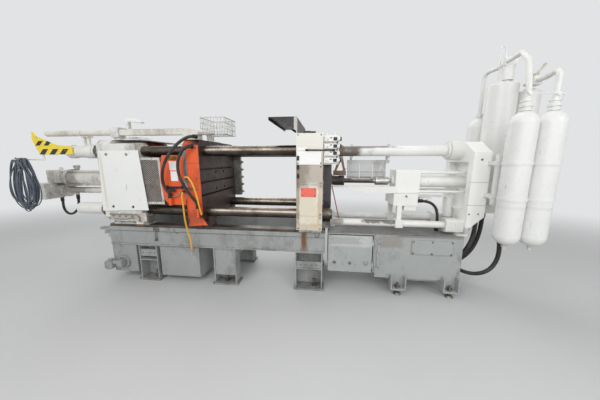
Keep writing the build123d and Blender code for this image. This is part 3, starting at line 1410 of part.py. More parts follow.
pressure_hose_points = [
    [(3230, -60, 1000), (3230, -60, 880), (3224, -72, 750), (3196, -86, 620), (3145, -96, 510),
     (3070, -100, 400),
     (2956, -100, 400)],
    [(3340, 0, 1000), (3340, 0, 870), (3336, 4, 725), (3312, 10, 580), (3264, 16, 450), (3184, 20, 345),
     (3080, 20, 280), (2956, 20, 280)],
    [(3500, -60, 1000), (3500, -60, 850), (3522, -62, 700), (3552, -66, 550), (3548, -72, 400),
     (3500, -76, 270),
     (3410, -70, 180), (3290, -20, 130), (3170, 80, 140), (3080, 150, 215), (2956, 150, 215)],
]
shot_hose_points = [(2456, -180, 1140), (2530, -180, 1140), (2618, -178, 1122), (2686, -170, 1062),
                    (2722, -148, 975),
                    (2738, -128, 890), (2742, -112, 815), (2742, -112, 745)]


def hoses():
    """Loose hoses and air lines."""
    save("hose_left_loop", tube_path(left_loop_points, hose_diameter, "hose_left_loop"))
    save("hose_a", tube_path(hose_a_points, hose_diameter, "hose_a"))
    save("hose_b", tube_path(hose_b_points, hose_diameter, "hose_b"))
    save("air_line_short", tube_path(yellow_short_points, air_line_diameter, "air_line_short"))
    save("air_line_long", tube_path(yellow_long_points, air_line_diameter, "air_line_long"))
    big = [tube_path(points, pressure_hose_diameter, "pressure_hoses") for points in pressure_hose_points]
    save("pressure_hoses", *big, tube_path(shot_hose_points, hose_diameter, "shot hose"))


base_beams()
save("base_legs", *[base_leg(*place) for place in leg_places()])
slide_ways()
save("oil_tank", oil_tank(), *drain_box())
levelling_feet()
shot_base()
shot_base_door()
fixed_platen()
platen_guard()
die_hood()
valve_manifold()
tie_bars()
rear_nuts()
rear_platen()
crosshead_guides()
save("rear_covers", rear_cover(), top_cover(), bar_bracket(), lube_strip())
safety_bar()
hazard_guard()
closing_cylinder()
closing_valves()
moving_platen()
ejector()
side_guard()
mesh_guard()
far_manifold()
parts_basket()
guard_fittings()
rear_link("rear_link_upper", 1)
rear_link("rear_link_lower", -1)
front_link("front_link_upper", 1)
front_link("front_link_lower", -1)
cross_links("cross_links_upper", 1)
cross_links("cross_links_lower", -1)
crosshead()
shot_frame()
end_frame()
shot_cylinder()
pilot_filter()
support_beam()
splash_panels()
shot_sleeve()
pour_chute()
plunger()
gas_bottles()
bottle_rack()
accumulators()
gas_pipes()
valve_lever()
cable_coil()
hoses()
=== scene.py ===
import json
import math

import bpy
import numpy as np
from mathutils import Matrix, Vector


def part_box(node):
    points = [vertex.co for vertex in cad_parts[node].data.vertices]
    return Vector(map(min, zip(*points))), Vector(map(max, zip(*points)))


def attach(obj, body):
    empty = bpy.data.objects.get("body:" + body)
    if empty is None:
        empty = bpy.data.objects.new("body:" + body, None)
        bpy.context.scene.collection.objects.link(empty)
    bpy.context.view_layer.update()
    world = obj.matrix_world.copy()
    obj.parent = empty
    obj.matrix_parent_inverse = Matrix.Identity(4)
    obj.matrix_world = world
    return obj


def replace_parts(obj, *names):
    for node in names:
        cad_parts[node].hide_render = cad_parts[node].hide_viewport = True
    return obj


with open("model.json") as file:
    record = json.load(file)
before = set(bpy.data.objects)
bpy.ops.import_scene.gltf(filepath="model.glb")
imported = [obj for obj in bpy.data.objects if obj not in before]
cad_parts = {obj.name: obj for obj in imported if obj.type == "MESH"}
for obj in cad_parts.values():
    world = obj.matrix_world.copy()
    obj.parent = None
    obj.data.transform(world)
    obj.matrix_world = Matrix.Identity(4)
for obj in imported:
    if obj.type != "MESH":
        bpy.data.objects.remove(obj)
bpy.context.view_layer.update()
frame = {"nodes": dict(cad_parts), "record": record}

nodes = frame["nodes"]
print("frame loaded:", len(nodes), "solids")


# colours and shader nodes

def tone(red, green, blue):
    # a colour as a screen shows it, 0 to 255, to the linear one that Blender mixes
    c = np.array([red, green, blue]) / 255
    c = np.where(c <= 0.04045, c / 12.92, ((c + 0.055) / 1.055) ** 2.4)
    return (*[float(v) for v in c], 1.0)


def put(tree, kind, feeds=None, **settings):
    # one shader node: settings are its options, feeds its inputs, linked or typed in
    node = tree.nodes.new("ShaderNode" + kind)
    for key, value in settings.items():
        setattr(node, key, value)
    for key, value in (feeds or {}).items():
        if isinstance(value, bpy.types.NodeSocket):
            tree.links.new(value, node.inputs[key])
        else:
            node.inputs[key].default_value = value
    return node


def reckon(tree, operation, first, second=0.5, third=0.5):
    return put(tree, "Math", {0: first, 1: second, 2: third}, operation=operation).outputs[0]


def times(tree, first, second):
    return reckon(tree, "MULTIPLY", first, second)


def timesPlus(tree, value, factor, extra):
    return reckon(tree, "MULTIPLY_ADD", value, factor, extra)


def larger(tree, first, second):
    return reckon(tree, "MAXIMUM", first, second)


def vector(tree, operation, first, second=(0, 0, 0)):
    node = put(tree, "VectorMath", {0: first, 1: second}, operation=operation)
    return node.outputs["Value" if operation in ("DOT_PRODUCT", "LENGTH") else "Vector"]


def objectPlace(tree):
    return put(tree, "TexCoord").outputs["Object"]


def noise(tree, place, scale, detail, roughness=0.5):
    feeds = {"Vector": place, "Scale": scale, "Detail": detail, "Roughness": roughness}
    return put(tree, "TexNoise", feeds).outputs[0]


def ramp(tree, value, low, high, floor=0.0, top=1.0):
    # smooth step, floor where value is low and top where it is high
    feeds = {"Value": value, "From Min": low, "From Max": high, "To Min": floor, "To Max": top}
    return put(tree, "MapRange", feeds, interpolation_type="SMOOTHSTEP").outputs["Result"]


def cut(tree, value, level, soft):
    # smooth step of value about level, soft to each side
    return ramp(tree, value, reckon(tree, "SUBTRACT", level, soft), reckon(tree, "ADD", level, soft))


def mixColour(tree, factor, first, second):
    return put(tree, "Mix", {0: factor, 6: first, 7: second}, data_type="RGBA").outputs[2]


def stainAndLight(tree, colour, mask, share, shade):
    # shade laid over colour by share, where the mask is: a stain, and in some zones painted shade and painted
    # highlight
    return mixColour(tree, times(tree, mask, share), colour, tone(*shade))


def newGroup(name, inputs, outputs):
    # a node group with named inputs and outputs, an input being a vector where its value is a tuple
    group = bpy.data.node_groups.new(name, "ShaderNodeTree")
    for label, value in inputs.items():
        kind = "NodeSocketVector" if isinstance(value, tuple) else "NodeSocketFloat"
        group.interface.new_socket(label, in_out="INPUT", socket_type=kind).default_value = value
    for label in outputs:
        group.interface.new_socket(label, in_out="OUTPUT", socket_type="NodeSocketFloat")
    return group, group.nodes.new("NodeGroupInput").outputs, group.nodes.new("NodeGroupOutput").inputs


# effects that more than one finish uses

def buildGrime():
    # cloudy dirt: noise over the object, drawn out downwards by Streak, cut at Level
    inputs = {"Scale": 3.0, "Streak": 1.0, "Level": 0.5, "Soft": 0.12}
    tree, take, give = newGroup("grime", inputs, ["Mask", "Fine"])
    stretch = put(tree, "CombineXYZ", {"X": 1.0, "Y": 1.0, "Z": take["Streak"]}).outputs[0]
    place = vector(tree, "MULTIPLY", objectPlace(tree), stretch)
    cloud = noise(tree, place, take["Scale"], 7.0, 0.62)
    fine = noise(tree, place, times(tree, take["Scale"], 9.0), 4.0, 0.7)
    blend = timesPlus(tree, fine, 0.25, times(tree, cloud, 0.75))
    tree.links.new(cut(tree, blend, take["Level"], take["Soft"]), give["Mask"])
    tree.links.new(fine, give["Fine"])
    return tree


def buildRub():
    # worn edges: where the rounded normal leaves the flat one, broken up by noise
    tree, take, give = newGroup("edgeRub", {"Radius": 0.008, "Level": 0.5}, ["Mask"])
    flat = put(tree, "NewGeometry").outputs["Normal"]
    rounded = put(tree, "Bevel", {"Radius": take["Radius"]}, samples=4).outputs[0]
    edge = ramp(tree, vector(tree, "DOT_PRODUCT", flat, rounded), 0.995, 0.86)
    broken = noise(tree, objectPlace(tree), 26.0, 5.0, 0.7)
    tree.links.new(times(tree, edge, cut(tree, broken, take["Level"], 0.06)), give["Mask"])
    return tree


def buildZone():
    # a ragged soft box about Centre, 1 inside it and 0 outside Reach
    inputs = {"Centre": (0, 0, 0), "Reach": (1, 1, 1), "Ragged": 0.3, "Grain": 9.0}
    tree, take, give = newGroup("zone", inputs, ["Mask"])
    place = objectPlace(tree)
    off = vector(tree, "SUBTRACT", place, take["Centre"])
    share = vector(tree, "ABSOLUTE", vector(tree, "DIVIDE", off, take["Reach"]))
    parts = put(tree, "SeparateXYZ", {0: share}).outputs
    far = larger(tree, larger(tree, parts[0], parts[1]), parts[2])
    cloud = noise(tree, place, take["Grain"], 6.0, 0.65)
    shift = times(tree, reckon(tree, "SUBTRACT", cloud, 0.5), times(tree, take["Ragged"], 4.0))
    tree.links.new(ramp(tree, reckon(tree, "ADD", far, shift), 1.0, 0.55), give["Mask"])
    return tree


def buildScratches():
    # long thin marks: noise stretched along one axis and cut high
    tree, take, give = newGroup("scratches", {"Stretch": (1, 1, 1), "Level": 0.66}, ["Mask"])
    place = vector(tree, "MULTIPLY", objectPlace(tree), take["Stretch"])
    marks = noise(tree, place, 1.0, 3.0, 0.6)
    high = reckon(tree, "ADD", take["Level"], 0.035)
    tree.links.new(ramp(tree, marks, take["Level"], high), give["Mask"])
    return tree


def buildSkin():
    # the small unevenness of sprayed paint or cast metal, as a height
    tree, take, give = newGroup("skin", {"Scale": 90.0, "Lump": 0.3}, ["Height"])
    place = objectPlace(tree)
    peel = noise(tree, place, take["Scale"], 2.0)
    lump = noise(tree, place, 6.0, 2.0)
    tree.links.new(timesPlus(tree, lump, take["Lump"], peel), give["Height"])
    return tree


effects = {"grime": buildGrime(), "rub": buildRub(), "zone": buildZone(), "scratches": buildScratches(),
           "skin": buildSkin()}


def effect(tree, name, feeds):
    node = tree.nodes.new("ShaderNodeGroup")
    node.node_tree = effects[name]
    for key, value in feeds.items():
        node.inputs[key].default_value = value
    return node.outputs


# finishes

def startFinish(name, roughness=0.5, metallic=0.0, specular=0.5):
    material = bpy.data.materials.new(name)
    material.use_nodes = True
    shader = material.node_tree.nodes["Principled BSDF"]
    shader.inputs["Roughness"].default_value = roughness
    shader.inputs["Metallic"].default_value = metallic
    shader.inputs["Specular IOR Level"].default_value = specular
    return material, material.node_tree, shader


def feed(shader, socket, value):
    shader.id_data.links.new(value, shader.inputs[socket])


def emboss(shader, height, strength, distance):
    feeds = {"Strength": strength, "Distance": distance, "Height": height}
    feed(shader, "Normal", put(shader.id_data, "Bump", feeds).outputs[0])


def stainAndLightZones(tree, colour, zones):
    # zones lay stains, painted shade and painted highlights; a zone is its centre, its reach, how ragged its
    # edge is, its grain, its share and its shade
    for centre, reach, ragged, grain, share, shade in zones:
        feeds = {"Centre": centre, "Reach": reach, "Ragged": ragged, "Grain": grain}
        colour = stainAndLight(tree, colour, effect(tree, "zone", feeds)["Mask"], share, shade)
    return colour


def paintedMetal(name, paint, faded, soil, bare=(92, 88, 84), gloss=0.42, dirt=0.55, dirtShare=0.6, rub=0.52,
                 marks=0.70, peel=0.10, zones=()):
    # paint that fades in clouds, carries soil, stains and some painted shade, and is rubbed through at its
    # edges
    material, tree, shader = startFinish(name, gloss)
    cloud = effect(tree, "grime", {"Scale": 1.1, "Streak": 0.8, "Level": 0.5, "Soft": 0.2})
    colour = mixColour(tree, cloud["Mask"], tone(*paint), tone(*faded))
    dirty = effect(tree, "grime", {"Scale": 2.2, "Streak": 0.6, "Level": dirt, "Soft": 0.09})
    colour = stainAndLightZones(tree, stainAndLight(tree, colour, dirty["Mask"], dirtShare, soil), zones)
    edges = effect(tree, "rub", {"Radius": 0.006, "Level": rub})["Mask"]
    cuts = effect(tree, "scratches", {"Stretch": (60.0, 60.0, 5.0), "Level": marks})["Mask"]
    worn = larger(tree, edges, times(tree, cuts, 0.6))
    feed(shader, "Base Color", mixColour(tree, worn, colour, tone(*bare)))
    feed(shader, "Roughness", ramp(tree, dirty["Fine"], 0.3, 0.7, gloss - 0.06, gloss + 0.16))
    feed(shader, "Metallic", times(tree, worn, 0.5))
    height = effect(tree, "skin", {"Scale": 120.0, "Lump": 1.5})["Height"]
    emboss(shader, timesPlus(tree, worn, -0.8, height), peel, 0.004)
    return material


def bareMetal(name, metal, stained, rust=None, gloss=0.32, metallic=0.85, stainScale=5.0, share=0.8,
              rustLevel=0.62, drawn=(6.0, 90.0, 90.0), zones=()):
    # ground, turned or cast metal with oil stains, drawn tool marks and some rust; on the bars its zones add
    # painted highlight and shade
    material, tree, shader = startFinish(name, gloss, metallic)
    lines = noise(tree, vector(tree, "MULTIPLY", objectPlace(tree), drawn), 1.0, 4.0, 0.6)
    oil = effect(tree, "grime", {"Scale": stainScale, "Streak": 1.0, "Level": 0.5, "Soft": 0.14})
    colour = mixColour(tree, times(tree, oil["Mask"], share), tone(*metal), tone(*stained))
    dulled = oil["Mask"]
    if rust:
        feeds = {"Scale": stainScale * 1.7, "Streak": 0.7, "Level": rustLevel, "Soft": 0.07}
        rusty = effect(tree, "grime", feeds)["Mask"]
        colour = mixColour(tree, rusty, colour, tone(*rust))
        dulled = larger(tree, dulled, rusty)
        feed(shader, "Metallic", timesPlus(tree, rusty, -metallic, metallic))
    feed(shader, "Base Color", stainAndLightZones(tree, colour, zones))
    dull = timesPlus(tree, dulled, 0.16, gloss - 0.12)
    feed(shader, "Roughness", timesPlus(tree, lines, 0.18, dull))
    emboss(shader, reckon(tree, "ADD", lines, oil["Fine"]), 0.12, 0.002)
    return material


def mouldedSkin(name, colour, dust, gloss=0.5, dustLevel=0.55, dustShare=0.5):
    # rubber and plastic: one colour, dusty in clouds, finely pitted
    material, tree, shader = startFinish(name, gloss, 0.0, 0.4)
    dusty = effect(tree, "grime", {"Scale": 7.0, "Streak": 0.7, "Level": dustLevel, "Soft": 0.15})
    shade = mixColour(tree, times(tree, dusty["Mask"], dustShare), tone(*colour), tone(*dust))
    feed(shader, "Base Color", shade)
    feed(shader, "Roughness", ramp(tree, dusty["Fine"], 0.3, 0.7, gloss - 0.08, gloss + 0.15))
    emboss(shader, effect(tree, "skin", {"Scale": 400.0, "Lump": 0.2})["Height"], 0.1, 0.001)
    return material


def between(tree, mask, value, low, high):
    # the mask, kept only where value lies between low and high
    mask = times(tree, mask, reckon(tree, "GREATER_THAN", value, low))
    return times(tree, mask, reckon(tree, "LESS_THAN", value, high))


def stripedSheet(name, node, yellow, black, soil, pale, front, right, foot, rows):
    # yellow paint with rows of slanted black bars on what lies before front, left of right and above foot,
    # and pale paint on the rest
    material, tree, shader = startFinish(name, 0.42)
    place = objectPlace(tree)
    parts = put(tree, "SeparateXYZ", {0: place}).outputs
    bars = None
    for row in rows:
        # along = x - lean * (z - low), counted in pitches from start; a bar fills its share of each pitch
        rise = reckon(tree, "SUBTRACT", parts["Z"], row["low"])
        along = timesPlus(tree, rise, -row["lean"], parts["X"])
        count = reckon(tree, "DIVIDE", reckon(tree, "SUBTRACT", along, row["start"]), row["pitch"])
        inside = reckon(tree, "LESS_THAN", reckon(tree, "FRACT", count), row["share"])
        inside = between(tree, inside, count, 0.0, row["bars"])
        inside = between(tree, inside, parts["Z"], row["low"], row["high"])
        bars = inside if bars is None else larger(tree, bars, inside)
    # worn spots in the bars: noise over the node's own box, 0 at its low corner and 1 at its high one
    low, high = np.array(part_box(node))
    spots = vector(tree, "DIVIDE", vector(tree, "SUBTRACT", place, tuple(low)), tuple(high - low))
    bars = times(tree, bars, ramp(tree, noise(tree, spots, 30.0, 3.0), 0.22, 0.34))
    soiled = effect(tree, "grime", {"Scale": 6.0, "Streak": 0.6, "Level": 0.62, "Soft": 0.08})["Mask"]
    before = reckon(tree, "LESS_THAN", parts["Y"], front)
    sheet = times(tree, before, reckon(tree, "LESS_THAN", parts["X"], right))
    sheet = times(tree, sheet, reckon(tree, "GREATER_THAN", parts["Z"], foot))
    colour = mixColour(tree, sheet, stainAndLight(tree, tone(*pale), soiled, 0.6, soil),
                       stainAndLight(tree, tone(*yellow), soiled, 0.5, soil))
    colour = mixColour(tree, times(tree, bars, sheet), colour, tone(*black))
    worn = effect(tree, "rub", {"Radius": 0.004, "Level": 0.54})["Mask"]
    feed(shader, "Base Color", mixColour(tree, worn, colour, tone(96, 92, 86)))
    emboss(shader, effect(tree, "skin", {"Scale": 120.0, "Lump": 1.5})["Height"], 0.08, 0.004)
    return material


paints = {
    "machineGrey": dict(paint=(148, 151, 150), faded=(160, 163, 161), soil=(88, 86, 82), dirt=0.57, zones=[
        ((1.070, -0.44, 0.655), (0.060, 0.05, 0.17), 0.30, 11.0, 0.55, (132, 104, 76)),  # rust run
        ((1.066, -0.44, 0.670), (0.034, 0.05, 0.15), 0.22, 17.0, 0.85, (104, 66, 36)),
        ((0.0, -0.44, 0.774), (2.2, 0.03, 0.018), 0.25, 7.0, 0.75, (74, 70, 66)),  # oil along the ways
        # painted shade in a thin line under the base's lip
        ((-0.1, -0.44, 0.702), (2.0, 0.03, 0.006), 0.03, 5.0, 0.70, (70, 68, 64)),
        ((0.0, 0.0, 0.01), (3.0, 0.6, 0.030), 0.3, 12.0, 0.55, (86, 80, 74))]),
    "shotGrey": dict(paint=(152, 156, 155), faded=(165, 168, 166), soil=(98, 95, 90), dirt=0.58, zones=[
        ((2.13, -0.36, 0.66), (0.17, 0.03, 0.10), 0.22, 20.0, 0.65, (140, 130, 122)),
        ((2.55, -0.36, 0.735), (0.5, 0.03, 0.022), 0.2, 14.0, 0.6, (104, 104, 100)),
        ((2.2, 0.0, 0.75), (0.9, 0.5, 0.008), 0.2, 6.0, 0.75, (74, 70, 66))]),
    "doorGrey": dict(paint=(156, 160, 159), faded=(168, 172, 170), soil=(104, 102, 98), dirt=0.60, zones=[
        ((1.64, -0.38, 0.665), (0.32, 0.05, 0.100), 0.16, 15.0, 0.70, (196, 198, 196)),  # splashed metal
        ((1.58, -0.38, 0.660), (0.24, 0.05, 0.060), 0.35, 26.0, 0.45, (132, 132, 130))]),
    "offWhite": dict(paint=(232, 232, 229), faded=(222, 221, 217), soil=(140, 134, 126), dirt=0.66,
                     dirtShare=0.5, rub=0.57),
    # paint brighter than the other whites: painted light on the shot end, which the lamps reach less
    "castWhite": dict(
        paint=(244, 244, 242), faded=(240, 240, 237), soil=(140, 134, 126), dirt=0.68,
        dirtShare=0.4, rub=0.60,
        zones=[((3.05, -0.30, 1.388), (0.3, 0.05, 0.0045), 0.0, 3.0, 0.45, (112, 110, 108)),  # weld lines
               ((3.06, -0.30, 1.118), (0.3, 0.05, 0.0045), 0.0, 3.0, 0.45, (112, 110, 108)),
               ((3.00, -0.30, 0.80), (0.2, 0.1, 0.06), 0.2, 9.0, 0.5, (120, 116, 110))]),
    "rearWhite": dict(
        paint=(226, 226, 223), faded=(208, 206, 201), soil=(104, 98, 90), dirt=0.54,
        dirtShare=0.75, rub=0.52,
        zones=[((-1.25, 0.0, 0.86), (0.4, 0.6, 0.06), 0.3, 9.0, 0.75, (84, 76, 68)),
               ((-1.10, 0.0, 1.37), (0.13, 0.40, 0.42), 0.3, 6.0, 0.92, (46, 42, 38))]),  # painted shade in the toggle's hollow
    "cylinderWhite": dict(paint=(228, 226, 221), faded=(212, 209, 202), soil=(96, 90, 82), dirt=0.535,
                          dirtShare=0.65, rub=0.50),
    "platenWhite": dict(
        paint=(228, 227, 223), faded=(206, 203, 196), soil=(96, 90, 84), dirt=0.52,
        dirtShare=0.75, rub=0.52,
        # the first zone is painted shade on the platen's face towards the shot end
        zones=[((1.345, 0.0, 1.24), (0.075, 1.1, 0.60), 0.16, 13.0, 0.95, (46, 44, 43)),
               ((1.33, -0.2, 0.98), (0.07, 0.3, 0.05), 0.3, 14.0, 0.6, (190, 184, 170)),
               ((0.985, 0.0, 1.37), (0.035, 0.6, 0.56), 0.06, 9.0, 0.9, (78, 68, 60))]),  # die face
    "guardCream": dict(
        paint=(221, 219, 210), faded=(227, 224, 214), soil=(168, 148, 112), dirt=0.62,
        dirtShare=0.45, rub=0.62,
        zones=[((1.12, -0.56, 1.53), (0.42, 0.09, 0.22), 0.22, 5.0, 0.62, (152, 136, 120)),  # scorched
               ((1.00, -0.56, 1.47), (0.17, 0.09, 0.20), 0.30, 7.0, 0.55, (112, 94, 78)),
               ((1.06, -0.56, 1.10), (0.26, 0.09, 0.26), 0.35, 6.0, 0.42, (202, 184, 140)),
               ((1.13, -0.56, 0.85), (0.30, 0.09, 0.08), 0.35, 8.0, 0.50, (178, 152, 112)),
               ((1.262, -0.56, 1.15), (0.030, 0.09, 0.30), 0.30, 12.0, 0.45, (166, 134, 92)),
               ((1.003, -0.56, 1.25), (0.030, 0.09, 0.46), 0.22, 12.0, 0.60, (120, 98, 70))]),
    "coverWhite": dict(
        paint=(231, 232, 229), faded=(226, 227, 224), soil=(196, 186, 160), dirt=0.70,
        dirtShare=0.35, rub=0.66,
        zones=[((-1.26, -0.53, 0.92), (0.42, 0.06, 0.075), 0.35, 15.0, 0.60, (128, 112, 92)),  # foot
               ((-1.47, -0.53, 1.38), (0.020, 0.06, 0.40), 0.2, 9.0, 0.45, (196, 184, 140)),
               ((-1.2, 0.0, 2.0), (0.45, 0.6, 0.11), 0.3, 8.0, 0.55, (120, 116, 110))]),
    "hoodBrown": dict(paint=(36, 32, 30), faded=(50, 45, 42), soil=(26, 23, 21), dirt=0.5, rub=0.6, zones=[
        ((0.985, -0.5, 2.0), (0.03, 0.06, 0.16), 0.05, 9.0, 0.92, (196, 194, 188))]),
    "rodWhite": dict(
        paint=(231, 231, 228), faded=(216, 215, 211), soil=(124, 114, 104), dirt=0.62,
        dirtShare=0.6, rub=0.56,
        zones=[((1.55, 0.0, 1.75), (0.25, 0.1, 0.10), 0.40, 6.0, 0.92, (84, 72, 62)),  # burnt end
               ((1.93, 0.0, 1.815), (0.32, 0.1, 0.030), 0.40, 7.0, 0.80, (96, 86, 78)),
               ((1.98, -0.2, 0.875), (0.26, 0.05, 0.030), 0.50, 10.0, 0.85, (62, 56, 51)),
               ((1.47, -0.2, 0.86), (0.10, 0.1, 0.045), 0.40, 9.0, 0.65, (112, 104, 96))]),
    "panelGrey": dict(
        paint=(202, 204, 204), faded=(190, 193, 193), soil=(116, 110, 102), dirt=0.58, rub=0.58,
        zones=[((1.862, 0.1, 1.48), (0.30, 0.03, 0.012), 0.05, 9.0, 0.4, (120, 116, 110)),
               ((1.88, 0.1, 1.40), (0.32, 0.03, 0.022), 0.25, 9.0, 0.7, (96, 86, 78))]),
    "bottleWhite": dict(
        paint=(227, 228, 226), faded=(221, 221, 218), soil=(178, 173, 165), dirt=0.74,
        dirtShare=0.3, rub=0.68,
        gloss=0.30, peel=0.05, zones=[
            ((3.35, -0.56, 1.16), (0.4, 0.3, 0.02), 0.3, 6.0, 0.25, (196, 192, 184)),
            ((3.35, -0.56, 0.75), (0.4, 0.3, 0.05), 0.3, 9.0, 0.35, (190, 184, 172))]),
    "guardOrange": dict(
        paint=(228, 94, 44), faded=(218, 88, 44), soil=(110, 52, 32), bare=(128, 104, 92), dirt=0.62,
        dirtShare=0.6, rub=0.50, marks=0.68, zones=[
            ((-0.28, -0.53, 0.93), (0.12, 0.05, 0.10), 0.35, 12.0, 0.55, (120, 64, 44)),
            ((-0.26, -0.53, 1.60), (0.12, 0.03, 0.012), 0.2, 9.0, 0.4, (150, 70, 44)),
            ((-0.30, -0.53, 1.84), (0.14, 0.05, 0.05), 0.35, 9.0, 0.5, (146, 78, 56))]),
    "platenOrange": dict(
        paint=(220, 92, 46), faded=(196, 82, 46), soil=(70, 42, 32), bare=(120, 96, 84), dirt=0.55,
        dirtShare=0.75, rub=0.50, marks=0.67, zones=[
            ((-0.28, 0.0, 1.93), (0.26, 0.6, 0.08), 0.20, 9.0, 0.85, (112, 106, 102)),
            ((-0.13, 0.0, 1.37), (0.19, 1.0, 1.10), 0.012, 9.0, 0.97, (35, 29, 26)),  # die face
            ((-0.17, 0.1, 1.45), (0.03, 0.50, 0.45), 0.45, 14.0, 0.30, (76, 64, 56))]),
    "linkOrange": dict(paint=(176, 78, 42), faded=(150, 66, 38), soil=(52, 34, 26), dirt=0.48, dirtShare=0.85,
                       rub=0.5),
    "barWhite": dict(
        paint=(222, 219, 211), faded=(206, 202, 192), soil=(118, 110, 100), dirt=0.58, rub=0.55,
        zones=[((-1.79, -0.43, 1.978), (0.012, 0.06, 0.06), 0.0, 9.0, 0.4, (120, 116, 110)),
               ((-0.10, -0.43, 1.95), (0.14, 0.06, 0.025), 0.3, 12.0, 0.6, (96, 88, 80))]),
    "meshWhite": dict(paint=(208, 208, 203), faded=(190, 189, 183), soil=(110, 104, 96), dirt=0.56, rub=0.52),
    "meshSteel": dict(paint=(188, 186, 181), faded=(168, 165, 159), soil=(110, 104, 97), dirt=0.54, rub=0.7),
    "leverCream": dict(paint=(222, 218, 206), faded=(206, 201, 188), soil=(130, 122, 108), rub=0.52),
    "plateBlank": dict(paint=(238, 238, 236), faded=(230, 230, 228), soil=(190, 184, 172), dirt=0.66,
                       dirtShare=0.35, rub=0.7, peel=0.03),
    "plateRed": dict(paint=(236, 104, 92), faded=(228, 112, 98), soil=(186, 92, 76), dirt=0.55, dirtShare=0.4,
                     rub=0.66, peel=0.03),
}
metals = {
    "plateBrass": dict(metal=(150, 118, 58), stained=(74, 54, 30), gloss=0.34, stainScale=16.0, share=0.7),
    "brassNut": dict(metal=(186, 142, 74), stained=(112, 70, 40), gloss=0.30, stainScale=20.0, share=0.6),
    "rawSteel": dict(metal=(158, 158, 156), stained=(92, 88, 84), gloss=0.30, stainScale=9.0, share=0.6),
    "wayMetal": dict(metal=(112, 104, 96), stained=(58, 52, 46), gloss=0.36),
    "boltMetal": dict(metal=(142, 140, 136), stained=(76, 70, 64), rust=(112, 78, 52), rustLevel=0.66,
                      metallic=0.8),
    "valveMetal": dict(metal=(176, 176, 170), stained=(92, 88, 84), gloss=0.36, metallic=0.75),
    "barMetal": dict(
        metal=(134, 124, 113), stained=(58, 50, 44), gloss=0.22, stainScale=2.4, metallic=0.9,
        drawn=(5.0, 120.0, 120.0), zones=[
            # the first zone is a painted highlight over the bars between the platens
            ((0.15, 0.0, 1.37), (0.30, 0.6, 0.6), 0.5, 3.0, 0.35, (168, 160, 149)),
            ((0.0, 0.0, 1.705), (3.0, 0.9, 0.05), 0.12, 5.0, 0.65, (38, 32, 28)),  # painted shade on the undersides of the upper bars
            ((0.0, 0.0, 0.945), (3.0, 0.9, 0.05), 0.12, 5.0, 0.65, (38, 32, 28)),  # and on the undersides of the lower ones
            ((-0.6, 0.0, 1.37), (0.35, 0.6, 0.6), 0.3, 5.0, 0.6, (52, 46, 42))]),
    "chromeMetal": dict(metal=(205, 204, 200), stained=(120, 116, 110), gloss=0.18, metallic=0.95),
    "toolMetal": dict(metal=(104, 96, 90), stained=(52, 44, 38), rust=(88, 60, 44), gloss=0.4, zones=[
        ((2.06, 0.0, 1.37), (0.135, 0.1, 0.1), 0.06, 9.0, 0.92, (214, 213, 208)),  # bright rod end
        ((1.78, 0.0, 1.40), (0.16, 0.1, 0.02), 0.3, 7.0, 0.75, (190, 188, 184))]),
    "rustyMetal": dict(metal=(142, 126, 116), stained=(84, 70, 62), rust=(128, 88, 64), gloss=0.5,
                       rustLevel=0.56),
    "rustRod": dict(metal=(132, 84, 58), stained=(84, 52, 38), rust=(150, 80, 44), gloss=0.6, rustLevel=0.42),
}
skinLooks = {
    "blackPlastic": dict(colour=(24, 24, 25), dust=(74, 72, 68)),
    "hoseBlack": dict(colour=(30, 29, 29), dust=(98, 94, 88), gloss=0.45, dustShare=0.45),
    "cableGrey": dict(colour=(74, 81, 95), dust=(124, 130, 139), gloss=0.45, dustLevel=0.5, dustShare=0.6),
    "lineYellow": dict(colour=(232, 176, 52), dust=(184, 128, 60), gloss=0.35, dustShare=0.6),
}
hazardLook = {
    "node": "hazard_guard", "yellow": (236, 210, 62), "black": (30, 29, 28), "soil": (150, 128, 70),
    "pale": (224, 223, 218), "front": -0.460, "right": -1.90, "foot": 1.69,
    "rows": [dict(low=1.710, high=1.782, start=-2.432, pitch=0.150, share=0.54, lean=0.95, bars=3),
             dict(low=1.826, high=1.886, start=-2.474, pitch=0.130, share=0.56, lean=1.0, bars=2)]}

finishes = {}
for make, looks in ((paintedMetal, paints), (bareMetal, metals), (mouldedSkin, skinLooks),
                    (stripedSheet, {"hazardSheet": hazardLook})):
    for name, look in looks.items():
        finishes[name] = make(name, **look)

# a CAD solid keeps its shape and takes the finish called like its material slot, apart from these
slotFinish = {"way_steel": "wayMetal", "bolt_steel": "boltMetal", "valve_steel": "valveMetal",
              "bar_steel": "barMetal", "bar_chrome": "chromeMetal", "tool_steel": "toolMetal",
              "rusty_steel": "rustyMetal", "hazard_yellow": "hazardSheet"}
nodeFinish = {"shot_base": "shotGrey", "shot_base_door": "doorGrey", "shot_end_frame": "castWhite",
              "rear_platen": "rearWhite", "fixed_platen": "platenWhite", "moving_platen": "platenOrange",
              "rear_covers": "coverWhite", "valve_lever": "leverCream", "closing_cylinder": "cylinderWhite",
              "closing_valves": "cylinderWhite"}


def finishOf(node, slot):
    # machine_grey is dressed in machineGrey
    first, *rest = slot.split("_")
    plain = first + "".join(word.capitalize() for word in rest)
    return nodeFinish.get(node, slotFinish.get(slot, plain))


for row in frame["record"]["subparts"]:
    slots = nodes[row["node"]].data.materials
    slots.clear()
    slots.append(finishes[finishOf(row["node"], row["material_slot"])])
print("finishes made:", len(finishes))


# shapes that the small pieces share: each gives points and faces of one closed skin

operatorSide = (0, -1, 0)  # most small pieces sit on faces that look this way


def sideOf(node):
    # y of a node's face on the operator's side
    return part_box(node)[0][1]


